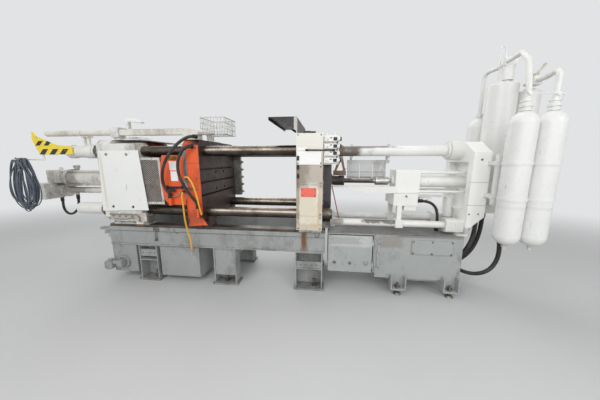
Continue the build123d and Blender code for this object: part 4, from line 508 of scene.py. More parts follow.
def closeSkin(rings):
    # skin through rings of points (ring, place, xyz): four-sided faces between them, a flat face at each end
    count, around = rings.shape[:2]
    first = np.arange(count - 1)[:, None] * around
    here = np.arange(around)[None, :]
    after = (here + 1) % around
    quads = np.stack([first + here, first + after, first + around + after, first + around + here], -1)
    quads = quads.reshape(-1, 4)
    points = rings.reshape(-1, 3)
    ends = np.array([np.arange(around)[::-1], np.arange(around) + (count - 1) * around])
    fans = [np.stack([np.full(around - 2, e[0]), e[1:-1], e[2:]], -1) for e in ends]
    corners = points[np.concatenate([quads[:, [0, 1, 2]], quads[:, [0, 2, 3]], *fans])]
    volume = np.einsum("ij,ij->", corners[:, 0], np.cross(corners[:, 1], corners[:, 2]))
    faces = quads.tolist() + ends.tolist()
    return points, faces if volume > 0 else [face[::-1] for face in faces]


def faceAxes(out):
    # across and up on a face that looks along out
    out = np.array(out, float) / np.linalg.norm(out)
    up = np.array([0.0, 0, 1]) if abs(out[2]) < 0.9 else np.array([0.0, 1, 0])
    across = np.cross(up, out)
    across /= np.linalg.norm(across)
    return across, np.cross(out, across), out


def roundPlate(at, wide, tall, thick=0.0016, corner=0.004, edge=0.001, out=operatorSide):
    # rounded rectangle: quarter circles at (+-(w/2-c), +-(h/2-c)), raised by thick, its rim cut back by edge
    sink = 0.0006
    a = np.linspace(0, 2 * np.pi, 24, endpoint=False)
    side = np.sign(np.c_[np.cos(a + 1e-6), np.sin(a + 1e-6)])
    flat = side * (np.array([wide, tall]) / 2 - corner) + corner * np.c_[np.cos(a), np.sin(a)]
    across, up, out = faceAxes(out)
    levels = [(-sink, 0.0), (thick - edge, 0.0), (thick, edge)]
    rings = [np.array(at) + (flat - side * inset) @ np.array([across, up]) + out * level
             for level, inset in levels]
    return closeSkin(np.array(rings))


def turnedShape(at, profile, out=operatorSide, around=20):
    # radius over height along out, swept round: (r cos a, r sin a, h)
    a = np.linspace(0, 2 * np.pi, around, endpoint=False)
    across, up, out = faceAxes(out)
    circle = np.outer(np.cos(a), across) + np.outer(np.sin(a), up)
    return closeSkin(np.array([np.array(at) + circle * max(r, 0.0003) + out * h for r, h in profile]))


def hexNut(at, flats, tall, out):
    # six-sided prism with its outer edge turned down
    r = flats / 1.732
    return turnedShape(at, [(r, 0.0), (r, tall * 0.82), (r * 0.88, tall)], out, around=6)


def capScrew(at, radius):
    # washer, round head and its socket: radius over height in head radii, the washer a little sunk
    profile = [(1.5, -0.0004 / radius), (1.5, 0.22), (1, 0.24), (1, 0.85), (0.9, 1), (0.5, 1), (0.5, 0.5),
               (0, 0.5)]
    return turnedShape(at, [(r * radius, h * radius) for r, h in profile])


def roundBar(line, radius, around=10):
    # circle of radius carried along a line of points, square to its run
    line = np.array(line, float)
    run = np.gradient(line, axis=0)
    run /= np.linalg.norm(run, axis=1)[:, None]
    side = np.cross(run, (0.213, 0.377, 0.901))
    side /= np.linalg.norm(side, axis=1)[:, None]
    up = np.cross(run, side)
    a = np.linspace(0, 2 * np.pi, around, endpoint=False)
    circle = np.cos(a)[None, :, None] * side[:, None] + np.sin(a)[None, :, None] * up[:, None]
    return closeSkin(line[:, None] + circle * radius)


def bentBar(stands, radius, bend=0.03, steps=6):
    # rigid round bar: straight runs, and at each corner c a curve (1-t)^2 p + 2t(1-t) c + t^2 q, its ends p
    # and q as far from the corner as bend says
    stands = np.array(stands, float)
    parts = [stands[:1]]
    t = np.linspace(0, 1, steps)[:, None]
    for before, corner, after in zip(stands, stands[1:], stands[2:]):
        p = corner + (before - corner) * min(1, bend / np.linalg.norm(before - corner))
        q = corner + (after - corner) * min(1, bend / np.linalg.norm(after - corner))
        parts.append((1 - t) ** 2 * p + 2 * t * (1 - t) * corner + t ** 2 * q)
    return roundBar(np.concatenate([*parts, stands[-1:]]), radius)


def hangingRing(x, y, half, radius, bend):
    # a ring on a face: half of it runs from an end to its foot, across from x and out from y, and is mirrored
    half = np.array(half)
    left, right = half * (-1, -1, 1) + (x, y, 0), half[-2::-1] * (1, -1, 1) + (x, y, 0)
    return bentBar(np.concatenate([left, right]), radius, bend)


def flatBar(a, b, wide, deep, edge=0.001):
    # flat bar from a to b in the x-z plane: its cross-section, wide across the run and deep along y
    a, b = np.array(a, float), np.array(b, float)
    side = np.cross((b - a) / np.linalg.norm(b - a), (0, 1, 0))
    w, d = wide / 2, deep / 2
    quarter = np.array([(w, d - edge), (w - edge, d)])
    flat = np.concatenate([-quarter, quarter[::-1] * (1, -1), quarter, quarter[::-1] * (-1, 1)])
    ring = flat[:, :1] * side + flat[:, 1:] * np.array([0, 1, 0])
    return closeSkin(np.array([a + ring, b + ring]))


def makePiece(name, skins, finish, body):
    # one object of several closed skins, smooth where its faces meet at less than about 35 degrees
    points, faces, start = [], [], 0
    for skinPoints, skinFaces in skins:
        points.append(skinPoints)
        faces += [[corner + start for corner in face] for face in skinFaces]
        start += len(skinPoints)
    data = bpy.data.meshes.new(name)
    data.from_pydata(np.concatenate(points).tolist(), [], faces)
    data.polygons.foreach_set("use_smooth", np.ones(len(faces), bool))
    data.set_sharp_from_angle(angle=0.6)
    data.materials.append(finishes[finish])
    piece = bpy.data.objects.new(name, data)
    bpy.context.scene.collection.objects.link(piece)
    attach(piece, body)
    return piece


# expanded metal in the mesh guard: two sets of flat wires that lean left and right, inside a bolted frame
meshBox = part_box("mesh_guard")
meshPanel = {
    "low": meshBox[0][2], "high": meshBox[1][2], "left": meshBox[0][0] + 0.020, "rightFoot": meshBox[1][0],
    "rightTop": meshBox[1][0] - 0.014, "y": (meshBox[0][1] + meshBox[1][1]) / 2, "rim": 0.030, "deep": 0.008,
    "pitch": 0.0330, "wire": 0.0025, "lean": 1.50, "shortest": 0.004, "proud": 0.0008,
    "ears": [1.180, 1.580], "earOut": 0.020, "earIn": 0.012, "earTall": 0.060, "earDeep": 0.0075,
    "screw": 0.0055, "screwOut": 0.0046,
    "screws": [(-0.712, 1.62), (-0.702, 1.38), (-0.697, 1.14), (-0.80, 1.655), (-0.80, 1.105)]}


def meshWires(m):
    # a wire runs along x = base +- lean * (z - low), cut where it leaves the window, whose edges lie a little
    # under the rim
    left, right = m["left"] + m["rim"] * 0.8, m["rightTop"] - m["rim"] * 0.4
    low, rise = m["low"] + m["rim"] * 0.8, m["high"] - m["low"] - m["rim"] * 1.6
    reach = m["lean"] * rise
    skins = []
    for way in (-1, 1):
        for start in np.arange(left - reach, right + reach, m["pitch"]):
            base = start if way > 0 else start + reach
            z = np.sort(np.clip((np.array([left, right]) - base) / (way * m["lean"]), 0, rise))
            if z[1] - z[0] > m["shortest"]:
                line = np.c_[base + way * m["lean"] * z, np.full(2, m["y"] + way * m["wire"] * 0.7), low + z]
                skins.append(roundBar(line, m["wire"], around=4))
    return skins


def meshFrame(m):
    # level bars above and below, upright ones a little proud of them, two ears on the left, and screws
    left, rightTop, rightFoot, half = m["left"], m["rightTop"], m["rightFoot"], m["rim"] / 2
    y, proud = m["y"], m["y"] - m["proud"]
    skins = [flatBar(a, b, m["rim"], m["deep"]) for a, b in (
        ((left, y, m["high"] - half), (rightTop, y, m["high"] - half)),
        ((left, y, m["low"] + half), (rightFoot, y, m["low"] + half)),
        ((left + half, proud, m["high"]), (left + half, proud, m["low"])),
        ((rightTop - half, proud, m["high"]), (rightFoot - half, proud, m["low"])))]
    skins += [flatBar((left - m["earOut"], y, z), (left + m["earIn"], y, z), m["earTall"], m["earDeep"])
              for z in m["ears"]]
    return skins + [capScrew((x, y - m["screwOut"], z), m["screw"]) for x, z in m["screws"]]


makePiece("meshWires", meshWires(meshPanel), "meshSteel", "rear_unit")
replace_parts(makePiece("meshRim", meshFrame(meshPanel), "meshWhite", "rear_unit"), "mesh_guard")

# small pieces: a row holds what its maker takes, and where it has places, one is made at the x and z of each,
# on the upright plane y

makers = {"plates": roundPlate, "screws": capScrew, "turned": turnedShape, "nuts": hexNut, "bars": roundBar,
          "bent": bentBar, "rings": hangingRing}
down, upward = (0, 0, -1), (0, 0, 1)
guardFace, creamFace, endFace = -0.542, sideOf("platen_guard"), sideOf("shot_end_frame")
manifoldFace, valveLevels = sideOf("valve_manifold"), [1.636, 1.712, 1.788, 1.864]
doorFace, baseFace, beamFace = sideOf("shot_base_door"), -0.360, sideOf("base_beams")
smallPieces = {
    # screws of the white cover sheet
    "coverScrews": dict(finish="blackPlastic", body="rear_unit", slot="black_plastic", screws=[
        dict(y=-0.538, radius=0.011, places=[(-1.384, 1.709), (-1.110, 1.708), (-1.381, 1.053),
                                             (-1.104, 1.053)])]),
    # blank plates on the two guards: white, brass and red ones, and a thin white sheet
    "whitePlates": dict(finish="plateBlank", body="moving_unit", slot="guard_orange", plates=[
        dict(at=(-0.505, guardFace, 1.572), wide=0.100, tall=0.110),
        dict(at=(-0.500, guardFace, 1.447), wide=0.092, tall=0.118)]),
    "brassPlate": dict(finish="plateBrass", body="moving_unit", slot="guard_orange", plates=[
        dict(at=(-0.509, guardFace, 1.663), wide=0.112, tall=0.046, corner=0.0225)]),
    "redPlate": dict(finish="plateRed", body="machine_frame", slot="guard_cream", plates=[
        dict(at=(1.1315, -0.565, 1.276), wide=0.171, tall=0.100)]),
    "topSheet": dict(finish="plateBlank", body="machine_frame", slot="guard_cream", plates=[
        dict(at=(1.136, creamFace, 1.662), wide=0.268, tall=0.148, thick=0.0012),
        dict(at=(1.060, creamFace, 1.762), wide=0.110, tall=0.030)]),
    # moving guard: grey strip, grip, two handles and screws
    "greyStrip": dict(finish="rawSteel", body="moving_unit", slot="guard_orange", plates=[
        dict(at=(-0.354, -0.538, 1.555), wide=0.046, tall=0.488, thick=0.0012),
        dict(at=(-0.362, -0.538, 1.395), wide=0.030, tall=0.060, thick=0.006)]),
    "gripBox": dict(finish="blackPlastic", body="moving_unit", slot="black_plastic", plates=[
        dict(at=(-0.5125, -0.5722, 1.281), wide=0.070, tall=0.042, thick=0.008, corner=0.006, edge=0.002),
        dict(at=(-0.500, -0.5542, 1.311), wide=0.206, tall=0.026, thick=0.004),
        dict(at=(-0.592, -0.5542, 1.311), wide=0.022, tall=0.050, thick=0.008),
        dict(at=(-0.404, -0.5542, 1.311), wide=0.022, tall=0.040, thick=0.008)],
        screws=[dict(y=-0.562, radius=0.005, places=[(-0.592, 1.311), (-0.404, 1.311)])]),
    "guardHandles": dict(finish="rawSteel", body="moving_unit", slot="guard_orange", bent=[
        dict(radius=0.006, stands=[
            (-0.590, -0.548, 1.290), (-0.600, -0.566, 1.262), (-0.580, -0.572, 1.212),
            (-0.520, -0.572, 1.196), (-0.450, -0.566, 1.216), (-0.430, -0.546, 1.262)]),
        dict(radius=0.0075, stands=[
            (-0.372, -0.536, 1.296), (-0.300, -0.552, 1.306), (-0.235, -0.556, 1.302),
            (-0.215, -0.532, 1.290)])]),
    "guardScrews": dict(finish="boltMetal", body="moving_unit", slot="bolt_steel", screws=[
        dict(y=guardFace, radius=0.006, places=[(-0.655, 1.66), (-0.670, 1.36), (-0.655, 1.20), (-0.42, 1.66),
                                                (-0.62, 1.115), (-0.42, 1.115)]),
        dict(y=-0.530, radius=0.007, places=[(-0.30, 1.78), (-0.21, 1.78), (-0.30, 1.02), (-0.21, 1.02),
                                             (-0.215, 1.42)])]),
    # valve manifold of the fixed platen: black blocks, plugs and a bar across the top sheet, and pale caps
    "manifoldBlacks": dict(finish="blackPlastic", body="machine_frame", slot="black_plastic", plates=[
        dict(y=manifoldFace, places=[(1.418, z) for z in valveLevels], wide=0.040, tall=0.036, thick=0.003,
             corner=0.003),
        dict(y=manifoldFace, places=[(1.372, z + 0.012) for z in valveLevels], wide=0.022, tall=0.010,
             thick=0.002, corner=0.003),
        dict(at=(1.440, -0.5185, 1.750), wide=0.012, tall=0.280, thick=0.001)],
        turned=[dict(y=-0.540, places=[(1.482, z) for z in valveLevels], out=(1, 0, 0),
                     profile=[(0.022, -0.012), (0.022, 0.002), (0.014, 0.004)])],
        bars=[
            dict(radius=0.0075, line=[
                (1.120, -0.572, 1.748), (1.250, -0.573, 1.746), (1.405, -0.573, 1.744)]),
            dict(radius=0.0105, line=[(1.096, -0.572, 1.748), (1.128, -0.572, 1.748)]),
            dict(radius=0.0105, line=[(1.385, -0.573, 1.745), (1.417, -0.573, 1.743)])]),
    "manifoldCaps": dict(finish="offWhite", body="machine_frame", slot="off_white", turned=[
        dict(y=manifoldFace, places=[(1.332, z) for z in valveLevels], profile=[
            (0.017, -0.0005), (0.017, 0.006), (0.013, 0.009), (0.006, 0.009), (0.006, 0.003), (0, 0.003)])]),
    # screws of sheets and covers on the standing part
    "frameScrews": dict(finish="boltMetal", body="machine_frame", slot="bolt_steel", screws=[
        dict(y=-0.376, radius=0.0075, places=[(x, z) for x in (2.385, 2.602, 2.820) for z in (0.528, 0.674)]),
        dict(y=creamFace, radius=0.0060, places=[
            (x, z) for x in (1.012, 1.266) for z in (0.85, 0.98, 1.020, 1.345, 1.382, 1.565, 1.604, 1.91)]),
        dict(y=endFace, radius=0.00825, places=[(3.066, 1.644)]),
        dict(y=endFace, radius=0.0060, places=[(3.00, 1.01), (3.10, 1.015)]),
        dict(y=sideOf("shot_valve_block"), radius=0.0090, places=[(2.300, 1.205)])]),
    # shot base: knobs and lifting ring of its door, and the strap beside it
    "doorKnobs": dict(finish="boltMetal", body="bay_door", slot="bolt_steel", turned=[
        dict(y=doorFace, places=[(1.449, 0.374), (1.639, 0.371)], profile=[
            (0.018, -0.0005), (0.018, 0.003), (0.011, 0.005), (0.011, 0.010), (0.008, 0.012)])],
        rings=[dict(x=1.835, y=doorFace, radius=0.003, bend=0.012, half=[
            (0.023, 0, 0.402), (0.023, 0.011, 0.392), (0.019, 0.013, 0.366), (0, 0.013, 0.352)])]),
    "hingeStrap": dict(finish="shotGrey", body="machine_frame", slot="machine_grey", plates=[
        dict(at=(1.985, baseFace, 0.500), wide=0.030, tall=0.400, thick=0.010),
        dict(at=(2.002, baseFace, 0.500), wide=0.075, tall=0.050, thick=0.014, corner=0.006),
        dict(at=(2.000, baseFace, 0.335), wide=0.065, tall=0.040, thick=0.014, corner=0.006)],
        screws=[dict(y=-0.370, radius=0.009, places=[(1.990, z) for z in (0.686, 0.623, 0.505, 0.330)])]),
    # foot of the rear platen: thin pipes with clips, and brass nuts
    "lubePipes": dict(finish="rawSteel", body="rear_unit", slot="guard_cream", bent=[
        dict(radius=0.005, bend=0.02, stands=[
            (-1.430, -0.545, 0.952), (-1.060, -0.545, 0.952), (-1.030, -0.545, 0.930),
            (-1.030, -0.545, 0.880)]),
        dict(radius=0.004, bend=0.015, stands=[
            (-1.400, -0.541, 0.890), (-1.200, -0.541, 0.890), (-1.180, -0.541, 0.905),
            (-1.100, -0.541, 0.905)])],
        turned=[dict(y=-0.534, places=[(-1.3996 + 0.090 * k, 0.930) for k in range(5)],
                     profile=[(0.010, -0.001), (0.010, 0.016), (0.007, 0.018)])]),
    "brassFittings": dict(finish="brassNut", body="rear_unit", slot="guard_cream", nuts=[
        dict(y=-0.527, places=[(-1.0836 + 0.026 * k, 0.8255) for k in range(4)], flats=0.020, tall=0.012,
             out=down),
        dict(at=(-1.428, -0.545, 0.952), flats=0.016, tall=0.012, out=(-1, 0, 0))],
        turned=[dict(y=-0.527, places=[(-1.0836 + 0.026 * k, 0.8135) for k in range(4)], out=down,
                     profile=[(0.006, 0.0), (0.006, 0.014), (0.004, 0.016)]),
                dict(y=-0.545, places=[(-1.030, 0.870), (-1.030, 0.905)], out=upward,
                     profile=[(0.0085, 0.0), (0.0085, 0.016)])]),
    # near beam: a bracket with its pull rod and knob, a hook and a ring
    "beamHangings": dict(finish="boltMetal", body="machine_frame", slot="bolt_steel", plates=[
        dict(at=(-0.900, beamFace, 0.735), wide=0.080, tall=0.050, thick=0.012)],
        bars=[dict(radius=0.007, line=[
            (-0.905, -0.452, 0.735), (-0.906, -0.454, 0.690), (-0.910, -0.452, 0.610)])],
        turned=[dict(at=(-0.910, -0.452, 0.612), out=down,
                     profile=[(0.012, 0.0), (0.016, 0.008), (0.016, 0.026), (0.009, 0.034)])],
        bent=[dict(radius=0.005, bend=0.015, stands=[
            (-0.650, -0.438, 0.752), (-0.648, -0.452, 0.735), (-0.625, -0.452, 0.700),
            (-0.600, -0.440, 0.690)])],
        rings=[dict(x=1.230, y=beamFace - 0.001, radius=0.0045, bend=0.015, half=[
            (0.025, 0, 0.772), (0.025, 0.007, 0.740), (0.016, 0.007, 0.712), (0, 0.007, 0.704)])]),
    # rod that leans from the fixed platen to the lower rod
    "leaningRod": dict(finish="rustRod", body="machine_frame", slot="rusty_steel", bars=[
        dict(radius=0.0065, line=[(1.3915, -0.170, 1.362), (1.500, -0.192, 0.8935)])]),
    # gas bottles: threaded collars under the pipes and plugs below, and a thin gauge tube with its clips
    "bottleCollars": dict(finish="bottleWhite", body="machine_frame", slot="bottle_white", turned=[
        dict(y=-0.560, places=[(3.234, 2.110), (3.480, 2.110)], out=upward, around=28, profile=[
            (0.046, -0.006), (0.046, 0.014), (0.038, 0.018), (0.038, 0.030), (0.052, 0.034), (0.052, 0.054),
            (0.047, 0.058), (0.036, 0.060), (0.036, 0.078), (0.044, 0.082), (0.044, 0.098), (0.034, 0.102)]),
        dict(y=-0.560, places=[(3.234, 0.7285), (3.480, 0.7285)], out=down, profile=[
            (0.030, -0.006), (0.024, 0.004), (0.018, 0.006), (0.012, 0.026), (0.008, 0.030)])]),
    "gaugeTube": dict(finish="bottleWhite", body="machine_frame", slot="rod_white", bent=[
        dict(radius=0.0055, bend=0.02, stands=[
            (3.187, -0.592, 2.420), (3.190, -0.592, 2.300), (3.215, -0.590, 2.262), (3.500, -0.590, 2.252),
            (3.530, -0.588, 2.246), (3.532, -0.586, 2.214)])],
        plates=[dict(y=-0.584, places=[(3.234, 2.262), (3.480, 2.253)], wide=0.026, tall=0.030,
                     thick=0.012)]),
}


def skinsOf(made):
    skins = []
    for kind, maker in makers.items():
        for row in made.get(kind, []):
            if "places" in row:
                settings = {key: value for key, value in row.items() if key not in ("y", "places")}
                skins += [maker(at=(x, row["y"], z), **settings) for x, z in row["places"]]
            else:
                skins.append(maker(**row))
    return skins


for name, made in smallPieces.items():
    makePiece(name, skinsOf(made), made["finish"], made["body"])
print("small pieces made")


# cords: each route's points are those of the CAD tube

hoseKinds = {
    "black": {"diameter": 0.034, "finish": "hoseBlack", "stiffness": "stiff", "ends": "blackPlastic"},
    "large": {"diameter": 0.050, "finish": "hoseBlack", "stiffness": "stiff", "ends": "rawSteel"},
    "air": {"diameter": 0.020, "finish": "lineYellow", "stiffness": "medium", "ends": "blackPlastic"},
}
hoses = {
    "hoseLeftLoop": dict(kind="black", stands="hose_left_loop", body="rear_unit", route=[
        (-2.830, 0, 1.060), (-2.830, 0, 0.985), (-2.818, -0.012, 0.910), (-2.780, -0.024, 0.845),
        (-2.720, -0.032, 0.806), (-2.650, -0.032, 0.803), (-2.590, -0.024, 0.840), (-2.552, -0.012, 0.905),
        (-2.540, 0, 0.985), (-2.540, 0, 1.105)]),
    "hoseA": dict(kind="black", stands="hose_a", body="moving_unit", route=[
        (-0.215, -0.490, 1.912), (-0.215, -0.545, 1.912), (-0.256, -0.590, 1.902), (-0.345, -0.612, 1.850),
        (-0.440, -0.622, 1.765), (-0.530, -0.620, 1.655), (-0.592, -0.616, 1.530), (-0.616, -0.606, 1.400),
        (-0.596, -0.590, 1.290), (-0.556, -0.576, 1.240), (-0.556, -0.576, 1.185)]),
    "hoseB": dict(kind="black", stands="hose_b", body="moving_unit", route=[
        (-0.250, -0.530, 1.796), (-0.250, -0.578, 1.796), (-0.286, -0.604, 1.784), (-0.342, -0.608, 1.735),
        (-0.386, -0.608, 1.655), (-0.406, -0.606, 1.560), (-0.398, -0.604, 1.460), (-0.362, -0.600, 1.360),
        (-0.312, -0.594, 1.270), (-0.262, -0.584, 1.190), (-0.214, -0.566, 1.120), (-0.214, -0.566, 1.060)]),
    "airLineShort": dict(kind="air", stands="air_line_short", body="moving_unit", route=[
        (-0.340, -0.538, 1.428), (-0.340, -0.580, 1.428), (-0.324, -0.612, 1.440), (-0.284, -0.622, 1.446),
        (-0.244, -0.620, 1.404), (-0.214, -0.616, 1.320), (-0.194, -0.608, 1.220), (-0.180, -0.600, 1.120),
        (-0.168, -0.592, 1.030), (-0.158, -0.576, 0.950)]),
    "airLineLong": dict(kind="air", stands="air_line_long", body="moving_unit", far="bare", route=[
        (-0.390, -0.542, 1.262), (-0.390, -0.578, 1.262), (-0.390, -0.594, 1.226), (-0.386, -0.594, 1.140),
        (-0.384, -0.590, 1.040), (-0.386, -0.582, 0.930), (-0.380, -0.572, 0.820), (-0.356, -0.566, 0.715),
        (-0.338, -0.562, 0.620), (-0.346, -0.558, 0.530)]),
    "pressureHose": dict(kind="large", stands="pressure_hoses", body="machine_frame", route=[
        (3.230, -0.060, 1.000), (3.230, -0.060, 0.880), (3.224, -0.072, 0.750), (3.196, -0.086, 0.620),
        (3.145, -0.096, 0.510), (3.070, -0.100, 0.400), (2.956, -0.100, 0.400)]),
    "pressureHoseMiddle": dict(kind="large", stands="pressure_hoses", body="machine_frame", route=[
        (3.340, 0, 1.000), (3.340, 0, 0.870), (3.336, 0.004, 0.725), (3.312, 0.010, 0.580),
        (3.264, 0.016, 0.450), (3.184, 0.020, 0.345), (3.080, 0.020, 0.280), (2.956, 0.020, 0.280)]),
    "pressureHoseLow": dict(kind="large", stands="pressure_hoses", body="machine_frame", route=[
        (3.500, -0.060, 1.000), (3.500, -0.060, 0.850), (3.522, -0.062, 0.700), (3.552, -0.066, 0.550),
        (3.548, -0.072, 0.400), (3.500, -0.076, 0.270), (3.410, -0.070, 0.180), (3.290, -0.020, 0.130),
        (3.170, 0.080, 0.140), (3.080, 0.150, 0.215), (2.956, 0.150, 0.215)]),
    "shotHose": dict(kind="black", stands="pressure_hoses", body="machine_frame", route=[
        (2.456, -0.180, 1.140), (2.530, -0.180, 1.140), (2.618, -0.178, 1.122), (2.686, -0.170, 1.062),
        (2.722, -0.148, 0.975), (2.738, -0.128, 0.890), (2.742, -0.112, 0.815), (2.742, -0.112, 0.745)]),
}


def hoseEnd(at, toward, d):
    # nut, neck and crimped sleeve along the hose: radius over length in diameters
    out = np.array(toward, float) - np.array(at, float)
    profile = [(0.74, -0.02), (0.74, 0.42), (0.58, 0.46), (0.58, 0.62), (0.66, 0.66), (0.66, 0.90),
               (0.61, 0.93), (0.66, 0.96), (0.66, 1.30), (0.61, 1.33), (0.66, 1.36), (0.66, 1.72),
               (0.60, 1.80)]
    return turnedShape(at, [(r * d, h * d) for r, h in profile], out, around=18)


def softCurve(name, route, diameter, finish, body, stands, steps=8):
    # a round cord on one smooth spline, with the route's points as its control points; the bevel's radius is
    # a metre and each point's radius brings it down to the cord's, so that the curve's box is the cord's too
    data = bpy.data.curves.new(name, "CURVE")
    data.dimensions = "3D"
    spline = data.splines.new("NURBS")
    spline.points.add(len(route) - 1)
    spline.points.foreach_set("co", np.c_[np.array(route, float), np.ones(len(route))].ravel())
    spline.points.foreach_set("radius", np.full(len(route), diameter / 2))
    spline.order_u = 3
    spline.use_endpoint_u = True
    spline.resolution_u = steps
    data.bevel_depth = 1.0
    data.bevel_resolution = 4
    data.use_fill_caps = True
    data.materials.append(finishes[finish])
    piece = bpy.data.objects.new(name, data)
    bpy.context.scene.collection.objects.link(piece)
    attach(piece, body)
    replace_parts(piece, stands)
    return piece


def cordLength(piece):
    # length of the cord's own spline, read with no thickness on it
    data = piece.data
    depth, caps = data.bevel_depth, data.use_fill_caps
    data.bevel_depth, data.use_fill_caps = 0.0, False
    bpy.context.view_layer.update()
    mesh = bpy.data.meshes.new_from_object(piece.evaluated_get(bpy.context.evaluated_depsgraph_get()))
    data.bevel_depth, data.use_fill_caps = depth, caps
    line = np.zeros(len(mesh.vertices) * 3)
    mesh.vertices.foreach_get("co", line)
    length = float(np.linalg.norm(np.diff(line.reshape(-1, 3), axis=0), axis=1).sum())
    print("cord", piece.name, round(length, 3))
    return length


for name, made in hoses.items():
    kind, route, farEnd = hoseKinds[made["kind"]], made["route"], made.get("far", "object")
    piece = softCurve(name, route, kind["diameter"], kind["finish"], made["body"], made["stands"])
    cordLength(piece)
    ends = [hoseEnd(route[0], route[1], kind["diameter"])]
    if farEnd == "object":
        ends.append(hoseEnd(route[-1], route[-2], kind["diameter"]))
    makePiece(name + "Ends", ends, kind["ends"], made["body"])


# a hank of grey cable hung over its peg: turns of a tall pear, each of its own width, height and lean
hank = {"turns": 22, "perTurn": 16, "peg": (-2.728, -0.492, 1.648), "height": 0.745, "width": 0.54,
        "depth": 0.070, "diameter": 0.013, "wide": (0.06, 1.0), "tall": (0.80, 1.0), "lean": (-0.045, 0.055),
        "spread": (-0.060, 0.100), "ripple": (-0.012, 0.012), "neck": 0.34, "belly": 0.6, "rise": 0.014,
        "uneven": 0.010, "weave": 0.007, "seed": 7}


def hankPoints(h):
    # pear: x = w/2 * sin(a) * (neck + (1-neck) * s^belly), and z falls by the height times s, where
    # s = (1-cos(a))/2 and a is the angle within a turn; lean and ripple bend it sideways, and the spread
    # opens it over the peg
    rng = np.random.default_rng(h["seed"])
    turns = h["turns"]
    wide, tall, lean, over = (rng.uniform(*h[key], turns) for key in ("wide", "tall", "lean", "spread"))
    ripple = rng.uniform(*h["ripple"], (turns, 2))
    a = np.linspace(0, 2 * np.pi * turns, turns * h["perTurn"], endpoint=False)
    index = a / (2 * np.pi)
    w, t, l, o, r0, r1 = (np.interp(index, np.arange(turns), v)
                          for v in (wide, tall, lean, over, ripple[:, 0], ripple[:, 1]))
    s = (1 - np.cos(a)) / 2
    pear = h["neck"] + (1 - h["neck"]) * s ** h["belly"]
    across = h["width"] / 2 * np.sin(a) * pear * w + l * s + o * (1 - s) ** 2
    across += r0 * np.sin(2 * a) + r1 * np.sin(3 * a)
    layer = (index / turns - 0.5) * h["depth"] + h["weave"] * np.sin(a * 0.5)
    fall = h["height"] * s * t - h["rise"] - h["uneven"] * np.cos(3 * index)
    return np.c_[h["peg"][0] + across, h["peg"][1] + layer, h["peg"][2] - fall]


route = hankPoints(hank)
piece = softCurve("cableHank", route, hank["diameter"], "cableGrey", "rear_unit", "cable_coil", steps=3)
cordLength(piece)


# stage, lights, camera

stageLook = {"floor": (196, 197, 197), "cloudy": (186, 187, 188), "away": (226, 227, 228), "half": 60.0,
             "fadeFrom": 3.2, "fadeTo": 7.5, "middle": (0.4, 0.0, 0.0), "stretch": (0.62, 1.0, 1.0),
             "worldLevel": 0.42}


def fadeAway(tree):
    # 1 where the camera or a reflection sees it, for which the backdrop is one even pale tone
    rays = put(tree, "LightPath").outputs
    return larger(tree, rays["Is Camera Ray"], rays["Is Glossy Ray"])


def makeFloor(look):
    # a flat floor that fades into the backdrop with its distance from the machine
    h = look["half"]
    mesh = bpy.data.meshes.new("studioFloor")
    mesh.from_pydata([(-h, -h, 0), (h, -h, 0), (h, h, 0), (-h, h, 0)], [], [(0, 1, 2, 3)])
    material, tree, shader = startFinish("studioFloor", 0.55)
    cloud = effect(tree, "grime", {"Scale": 0.7, "Streak": 1.0, "Level": 0.5, "Soft": 0.25})["Mask"]
    feed(shader, "Base Color", stainAndLight(tree, tone(*look["floor"]), cloud, 0.35, look["cloudy"]))
    off = vector(tree, "SUBTRACT", objectPlace(tree), look["middle"])
    away = vector(tree, "LENGTH", vector(tree, "MULTIPLY", off, look["stretch"]))
    fade = ramp(tree, away, look["fadeFrom"], look["fadeTo"])
    glow = put(tree, "Emission", {"Color": tone(*look["away"]), "Strength": 1.0}).outputs[0]
    feeds = {0: times(tree, fade, fadeAway(tree)), 1: shader.outputs[0], 2: glow}
    tree.links.new(put(tree, "MixShader", feeds).outputs[0], tree.nodes["Material Output"].inputs["Surface"])
    mesh.materials.append(material)
    floor = bpy.data.objects.new("studioFloor", mesh)
    bpy.context.scene.collection.objects.link(floor)
    return floor


makeFloor(stageLook)

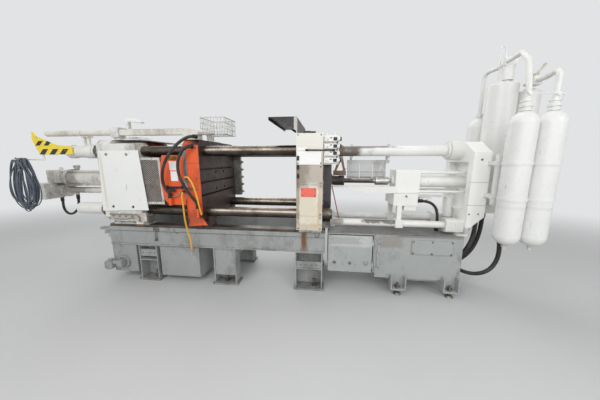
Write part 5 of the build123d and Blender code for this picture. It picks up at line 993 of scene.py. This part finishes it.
scene = bpy.context.scene
scene.world = bpy.data.worlds.new("softRoom")
scene.world.use_nodes = True
sky = scene.world.node_tree
back = sky.nodes["Background"]
back.inputs["Strength"].default_value = 1.0
dim = (*[stageLook["worldLevel"]] * 3, 1.0)
feed(back, "Color", mixColour(sky, fadeAway(sky), dim, tone(*stageLook["away"])))

lamps = {
    "keyLamp": {"at": (-1.5, -6.0, 5.0), "to": (0.3, 0, 1.2), "size": 4.5, "power": 222},
    "fillLamp": {"at": (5.5, -5.0, 4.0), "to": (1.0, 0, 1.2), "size": 4.0, "power": 130},
    "frontLamp": {"at": (2.2, -4.8, 2.2), "to": (2.6, 0, 1.1), "size": 1.6, "power": 28},
    "topLamp": {"at": (0.5, 1.5, 6.0), "to": (0.5, 0, 1.0), "size": 6.0, "power": 150},
    "backLamp": {"at": (-2.0, 6.0, 4.0), "to": (0.3, 0, 1.2), "size": 4.0, "power": 110},
}


def aim(at, to):
    # the turn that points an object's -Z from one place towards another, with its Y upwards
    d = np.array(to, float) - np.array(at, float)
    return (math.pi / 2 + math.atan2(d[2], math.hypot(d[0], d[1])), 0, math.atan2(-d[0], d[1]))


for name, lamp in lamps.items():
    data = bpy.data.lights.new(name, "AREA")
    data.shape = "SQUARE"
    data.size = lamp["size"]
    data.energy = lamp["power"]
    light = bpy.data.objects.new(name, data)
    light.location = lamp["at"]
    light.rotation_euler = aim(lamp["at"], lamp["to"])
    scene.collection.objects.link(light)

viewFrom = {"at": (1.330, -3.1256, 1.6324), "yaw": 6.58, "down": 9.77, "lens": 13.71, "sensor": 36.0,
            "reach": 200.0}
cameraData = bpy.data.cameras.new("viewCamera")
cameraData.lens = viewFrom["lens"]
cameraData.sensor_width = viewFrom["sensor"]
cameraData.clip_end = viewFrom["reach"]
camera = bpy.data.objects.new("viewCamera", cameraData)
camera.location = viewFrom["at"]
camera.rotation_euler = (math.radians(90 - viewFrom["down"]), 0, math.radians(viewFrom["yaw"]))
scene.collection.objects.link(camera)
scene.camera = camera
scene.view_settings.view_transform = "Standard"
print("stage set")
